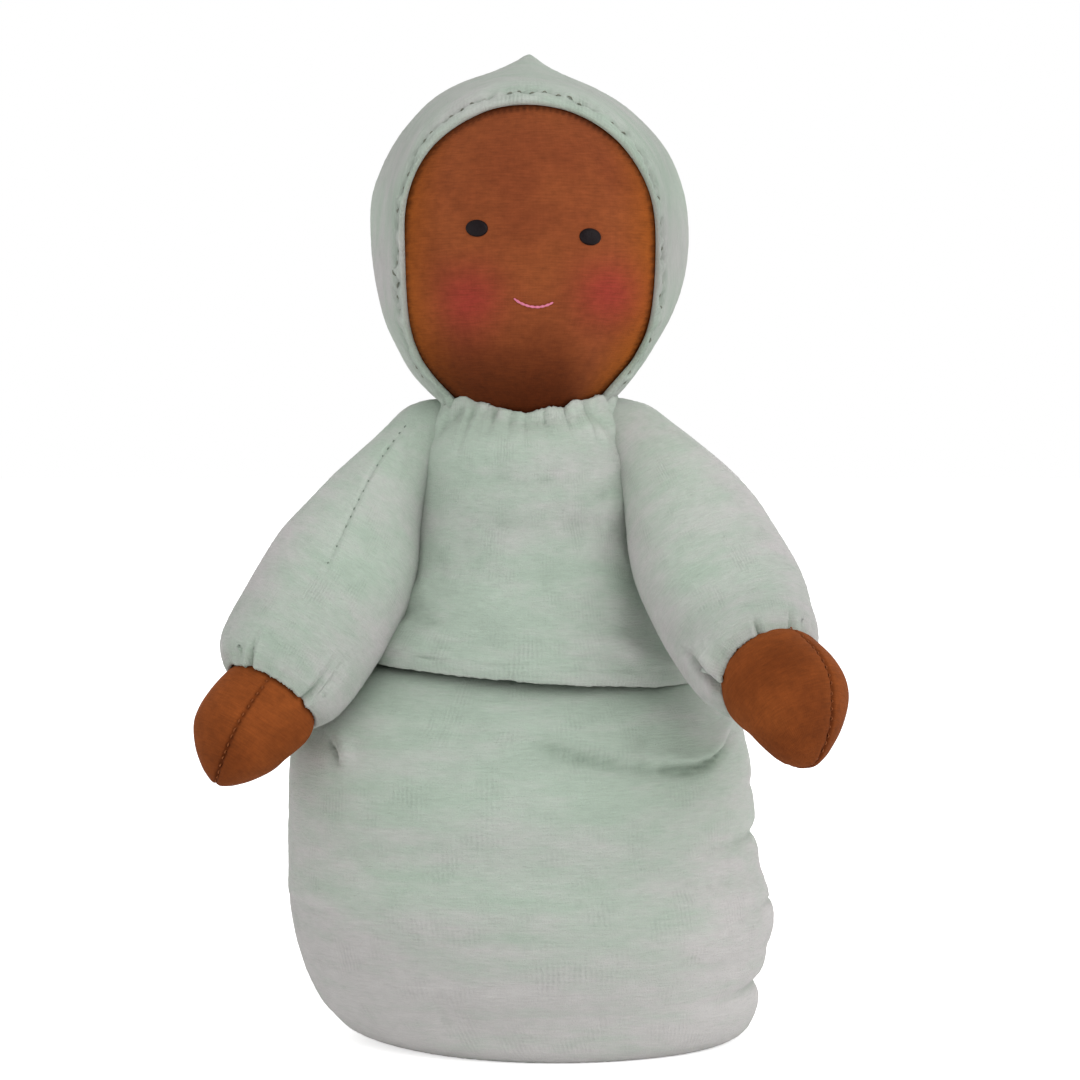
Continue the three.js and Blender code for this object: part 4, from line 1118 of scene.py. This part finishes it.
for side in ("right", "left"):
    shoulder, wrist, axes = arm_frame(side)
    own = (node_points("sleeve_" + side) - shoulder) @ axes
    half_width = np.abs(own[:, 0]).max()
    half_depth = -own[:, 1].min()
    length = np.linalg.norm(shoulder - wrist)
    columns = [0, 1, 2, 3, 3] if side == "right" else [0, 2, 1, 3, 3]
    reaches = (-length, half_width, half_width, half_depth, half_depth)
    rows = np.array(sleeve_shares[side])[::-1, columns] * reaches
    grid = rings(smooth_rows(rows, sleeve_rows), sleeve_sides)
    ring_heights = grid[:, 0, 2]
    give = eased(ring_heights + length, 2 * mm, 20 * mm) * (1 - eased(ring_heights, -40 * mm, -12 * mm))
    grid = refined(settled(grid, give, pressure=2.0, slack=0.0, most=1.0 * mm))
    turn = np.degrees(np.arctan2(grid[..., 0], -grid[..., 1]))
    up_from_cuff = grid[..., 2] + length
    rng = np.random.default_rng(70 if side == "right" else 71)
    hidden = [(place, rng.uniform(0.5, 1.1), 0.9, rng.uniform(4, 8)) for place in range(105, 265, 33)]
    grid = pleated(grid, turn, up_from_cuff, [*cuff_pleats[side], *hidden])
    share = np.clip(-grid[..., 2] / length, 0, 1)
    aside = (turn - seam_turn[side][0] * (1 - share) - seam_turn[side][1] * share + 180) % 360 - 180
    across = np.radians(aside) * np.hypot(grid[..., 0], grid[..., 1])
    seam_part = bell(across, 0.8 * mm) * eased(-grid[..., 2], 6 * mm, 14 * mm)
    seam_part = seam_part * (0.2 + 0.8 * eased(up_from_cuff, 34 * mm, 52 * mm))
    grid = raised(grid, -sleeve_seam_depth * seam_part)
    grid = raised(grid, 0.35 * mm * lumps(grid, (18, 18, 34), seed=73))
    facing = np.cos(np.radians(turn)) * (1 - eased(up_from_cuff, 0, 26 * mm))
    grid[..., 2] += cuff_front_rise[side] * facing
    edge_part = 1 - eased(up_from_cuff, 0, 2.5 * mm)
    grid[..., 2] += edge_part * 0.15 * mm * lumps(grid, (6, 6, 60), seed=74)
    own_across = grid[..., 0]
    grid = folded(grid @ axes.T + shoulder, sleeve_folds[side])
    grid = raised(grid, pile_height * rng.normal(size=grid.shape[:2]))
    # Painted on the sleeves: rim sheen greying their edges, shade in their hollows.
    greyed = sleeve_grey[side] + 0.5 * eased(np.abs(own_across), 0.35 * half_width, half_width)
    marks = {
        "tone": greyed + 0.12 * lumps(grid, 22, seed=76),
        "hollow": 0.8 * sunken(grid, 0.9 * mm),
        "opened": 1 - eased(up_from_cuff, 1.5 * mm, 4 * mm),
    }
    seam_rows = np.arange(len(grid) - 30, 51 if side == "right" else 30, -1)
    seam_columns = np.argmin(np.abs(aside[seam_rows]), axis=1)
    seam_path = grid[seam_rows, seam_columns]
    seam_normal = normals_of(grid)[seam_rows, seam_columns]
    plain_rows = len(grid)
    grid = turned_in(grid, cuff_roll, cuff_turned_in, 0)
    added = np.repeat([0], len(grid) - plain_rows)
    sleeve = ring_mesh("sleeve_velour_" + side, grid)
    marks = {name: np.concatenate([values[added], values]) for name, values in marks.items()}
    # Painted light towards the top of each sleeve.
    painted(sleeve, **marks, brushed=0.25 + 0.75 * eased(grid[..., 2], 140 * mm, 190 * mm))
    sleeve.data.materials.append(velour)
    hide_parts("sleeve_" + side, "arm_filling_" + side)
    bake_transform(sleeve)

    seam_dashes = dashes(
        seam_path, seam_normal, 1.3 * mm, 2.0 * mm, wander=0.12 * mm, seed=77, shown=0.5
    )
    seam = stitches("sleeve_seam_stitches_" + side, seam_dashes, radius=0.24 * mm, sunk=0.3 * mm)
    seam.data.materials.append(seam_thread)
    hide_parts("sleeve_seam_" + side)
    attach(seam, "arm_" + side)
    rethreaded("shoulder_seam_" + side, green_thread)

# Gathering thread: it runs inside the turned edge of the neckline and draws it together.
gather_ring = bodice_grid[-14]
gather_path = np.concatenate([gather_ring, gather_ring[:1]])
gather_out = unit(gather_path * (1, 1, 0))
gather_path = gather_path - gather_out * 0.9 * mm
gather_dashes = dashes(gather_path, gather_out, 2.4 * mm, 0.4 * mm, wander=0.05 * mm, seed=81)
gather = stitches("neck_gather_stitches", gather_dashes, radius=0.3 * mm, sunk=0.1 * mm)
gather.data.materials.append(green_thread)
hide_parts("neck_gather_thread")
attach(gather, "torso")

# Hands: mittens of jersey filled hard with wool, tied inside the cuffs, with a seam round the
# edge that comes to a point at the fingertips.
hand_sides = 288
# Each row: distance from the wrist towards the fingertips, half width and half depth, as shares.
hand_shares = [
    (0.997, 0.03, 0.035), (0.985, 0.10, 0.115), (0.95, 0.235, 0.26), (0.90, 0.385, 0.415),
    (0.78, 0.645, 0.68), (0.61, 0.89, 0.91), (0.44, 0.985, 0.99), (0.28, 1.0, 0.99),
    (0.17, 0.975, 0.955), (0.08, 0.93, 0.91), (0.00, 0.865, 0.865), (-0.06, 0.78, 0.79),
    (-0.12, 0.66, 0.68), (-0.18, 0.46, 0.48),
]
# How the stuffed hand lies off the CAD's, outwards and up the arm, and how much wider it is.
hand_set = {"right": (1.0 * mm, 1.2 * mm, 0.99), "left": (4.6 * mm, 5.2 * mm, 1.13)}
hand_seam_depth = 0.7 * mm
pucker_spacing = 2.6 * mm
seam_aside = {"right": 1.0 * mm, "left": 4.0 * mm}  # how far the seam's front half lies inwards
# How much painted shade darkens each hand all over.
hand_dark = {"right": 0.14, "left": 0.22}
brown_thread = thread_material("brown_hand_thread", "#6a3316", "#9a5a30", 0.7)
for side in ("right", "left"):
    _, wrist, axes = arm_frame(side)
    across = -np.array(joint_called["wrist_bend_" + side]["axis"])
    axes = np.stack([across, np.cross(axes[:, 2], across), axes[:, 2]], axis=1)
    own = (node_points("hand_" + side) - wrist) @ axes
    lowest = own[:, 2].min()
    widest, deepest = own[:, 0].max(), own[:, 1].max()
    rows = np.array(hand_shares)[:, [0, 1, 1, 2, 2]] * (lowest, widest, widest, deepest, deepest)
    grid = rings(smooth_rows(rows, 96), hand_sides)
    reach = np.clip(grid[..., 2] / lowest, 0, 1)
    in_front = grid[..., 1] < 0
    beside_seam = np.abs(grid[..., 0] + seam_aside[side] * in_front * (1 - eased(reach, 0.4, 1)))
    seam_rows = np.arange(3, 84)
    front_columns = np.argmin(beside_seam[seam_rows] + ~in_front[seam_rows], axis=1)
    back_columns = np.argmin(beside_seam[seam_rows] + in_front[seam_rows], axis=1)
    if side == "right":
        grid[..., 0] *= 1 - 0.2 * (grid[..., 0] > 0) * eased(reach, 0.05, 0.5)
    else:
        grid[..., 1] *= 1 - 0.16 * (grid[..., 1] > 0) * eased(reach, 0.1, 0.6)
        grid[..., 1] += 3.3 * mm * eased(reach, 0.45, 1)
        grid[..., 2] -= 1.9 * mm * eased(reach, 0.6, 1)
    grid = raised(grid, 0.22 * mm * lumps(grid, 13, seed=91))
    reach_down = eased(-grid[..., 2], -4 * mm, 6 * mm)
    grid = raised(grid, -hand_seam_depth * bell(beside_seam, 0.6 * mm) * reach_down)
    puckers = 0.5 + 0.5 * np.cos(grid[..., 2] / pucker_spacing * 2 * np.pi)
    grid = raised(grid, -0.25 * mm * puckers * bell(beside_seam, 1.8 * mm) * reach_down)
    path, normal = (
        np.concatenate([part[seam_rows, front_columns][::-1], part[seam_rows, back_columns]])
        for part in (grid, normals_of(grid))
    )
    for _ in range(4):
        path[1:-1] = (path[:-2] + path[1:-1] + path[2:]) / 3
    path = path + 0.3 * mm * normal
    outwards, up_arm, wider = hand_set[side]
    off = wrist + outwards * np.array([1 if side == "left" else -1, 0, 0]) + up_arm * axes[:, 2]
    path, grid = (part * (wider, wider, 1) @ axes.T + off for part in (path, grid))
    # Painted shade along the seam and towards the fingertips.
    seam_dark = 0.35 * bell(beside_seam, 0.8 * mm) * reach_down
    hand = ring_mesh("hand_jersey_" + side, grid)
    darkened = hand_dark[side] + 0.25 * reach + 0.1 * lumps(grid, 14, seed=92) + seam_dark
    painted(hand, warm=0.4, dark=darkened)
    hand.data.materials.append(jersey)
    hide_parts("hand_" + side, "hand_filling_" + side)
    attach(hand, "hand_" + side)

    seam_dashes = dashes(path, normal @ axes.T, 1.5 * mm, 1.1 * mm, wander=0.12 * mm, seed=93)
    seam = stitches("hand_seam_stitches_" + side, seam_dashes, radius=0.24 * mm, sunk=0.25 * mm)
    seam.data.materials.append(brown_thread)
    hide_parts("hand_seam_" + side)
    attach(seam, "hand_" + side)
    rethreaded("wrist_thread_" + side, brown_thread)

rethreaded("head_tie", brown_thread)

# Setting: a white floor and backdrop that keep the doll's shadow, soft light from the front and
# above, and the photograph's camera, level with the chest and nine tenths of a metre away.
camera_target = np.array([3.26, 0, 163.1]) * mm
camera_distance = 900 * mm
camera_rise = np.radians(3)
view_width = 352 * mm
sensor_width = 36.0
camera_data = bpy.data.cameras.new("camera")
camera_data.sensor_width = sensor_width
camera_data.lens = sensor_width * camera_distance / view_width
camera = placed("camera", camera_data)
back_and_up = np.array([0, -np.cos(camera_rise), np.sin(camera_rise)])
camera.location = camera_target + camera_distance * back_and_up
camera.rotation_euler = (np.pi / 2 - camera_rise, 0, 0)
bpy.context.scene.camera = camera

lamp_target = np.array([0, 0, 0.16])
# Each lamp: name, place, size and power.
lamps = [("key", (1.0, -0.8, 0.8), 1.4, 9.9), ("fill", (-1.1, -0.9, 0.45), 1.1, 3.2)]
lamps += [("back", (0.2, 1.2, 0.9), 1.0, 3.0)]
for name, place, size, power in lamps:
    lamp_data = bpy.data.lights.new(name, "AREA")
    lamp_data.size = size
    lamp_data.energy = power
    lamp = placed(name, lamp_data)
    lamp.location = place
    x, y, z = lamp_target - place
    lamp.rotation_euler = (np.arctan2(np.hypot(x, y), -z), 0, np.arctan2(y, x) - np.pi / 2)


def seen_directly(tree):
    """1 for rays that come from the camera, a glossy surface or glass: the greatest of the three."""
    seen = 0.0
    for ray in ("Is Camera Ray", "Is Glossy Ray", "Is Transmission Ray"):
        is_ray = add_node(tree, "LightPath", {}, ray)
        seen = add_node(tree, "Math", {0: seen, 1: is_ray}, operation="MAXIMUM")
    return seen


# White paper, matt, with a glow only where it is seen directly, so that it looks evenly white and
# still takes the doll's shadow.
floor_reach = 6.0
floor_mesh = bpy.data.meshes.new("floor")
corners = [(x * floor_reach, y * floor_reach, 0) for x, y in ((-1, -1), (1, -1), (1, 1), (-1, 1))]
floor_mesh.from_pydata(corners, [], [(0, 1, 2, 3)])
floor = placed("floor", floor_mesh)
white_paper, tree = bare_material("white_paper")
glow_strength = add_node(tree, "Math", {0: seen_directly(tree), 1: 0.62}, operation="MULTIPLY")
lit = add_node(tree, "BsdfDiffuse", {"Color": linear("#f7f7f7")})
glow = add_node(tree, "Emission", {"Strength": glow_strength})
add_node(tree, "OutputMaterial", {"Surface": add_node(tree, "AddShader", {0: lit, 1: glow})})
floor_mesh.materials.append(white_paper)

world = bpy.data.worlds.new("studio")
bpy.context.scene.world = world
world.use_nodes = True
tree = world.node_tree
tree.nodes.clear()
strength = add_node(tree, "MapRange", {"Value": seen_directly(tree), "To Min": 0.76, "To Max": 1.0})
sky = add_node(tree, "Background", {"Color": linear("#ffffff"), "Strength": strength})
add_node(tree, "OutputWorld", {"Surface": sky})
bpy.context.scene.view_settings.view_transform = "Standard"
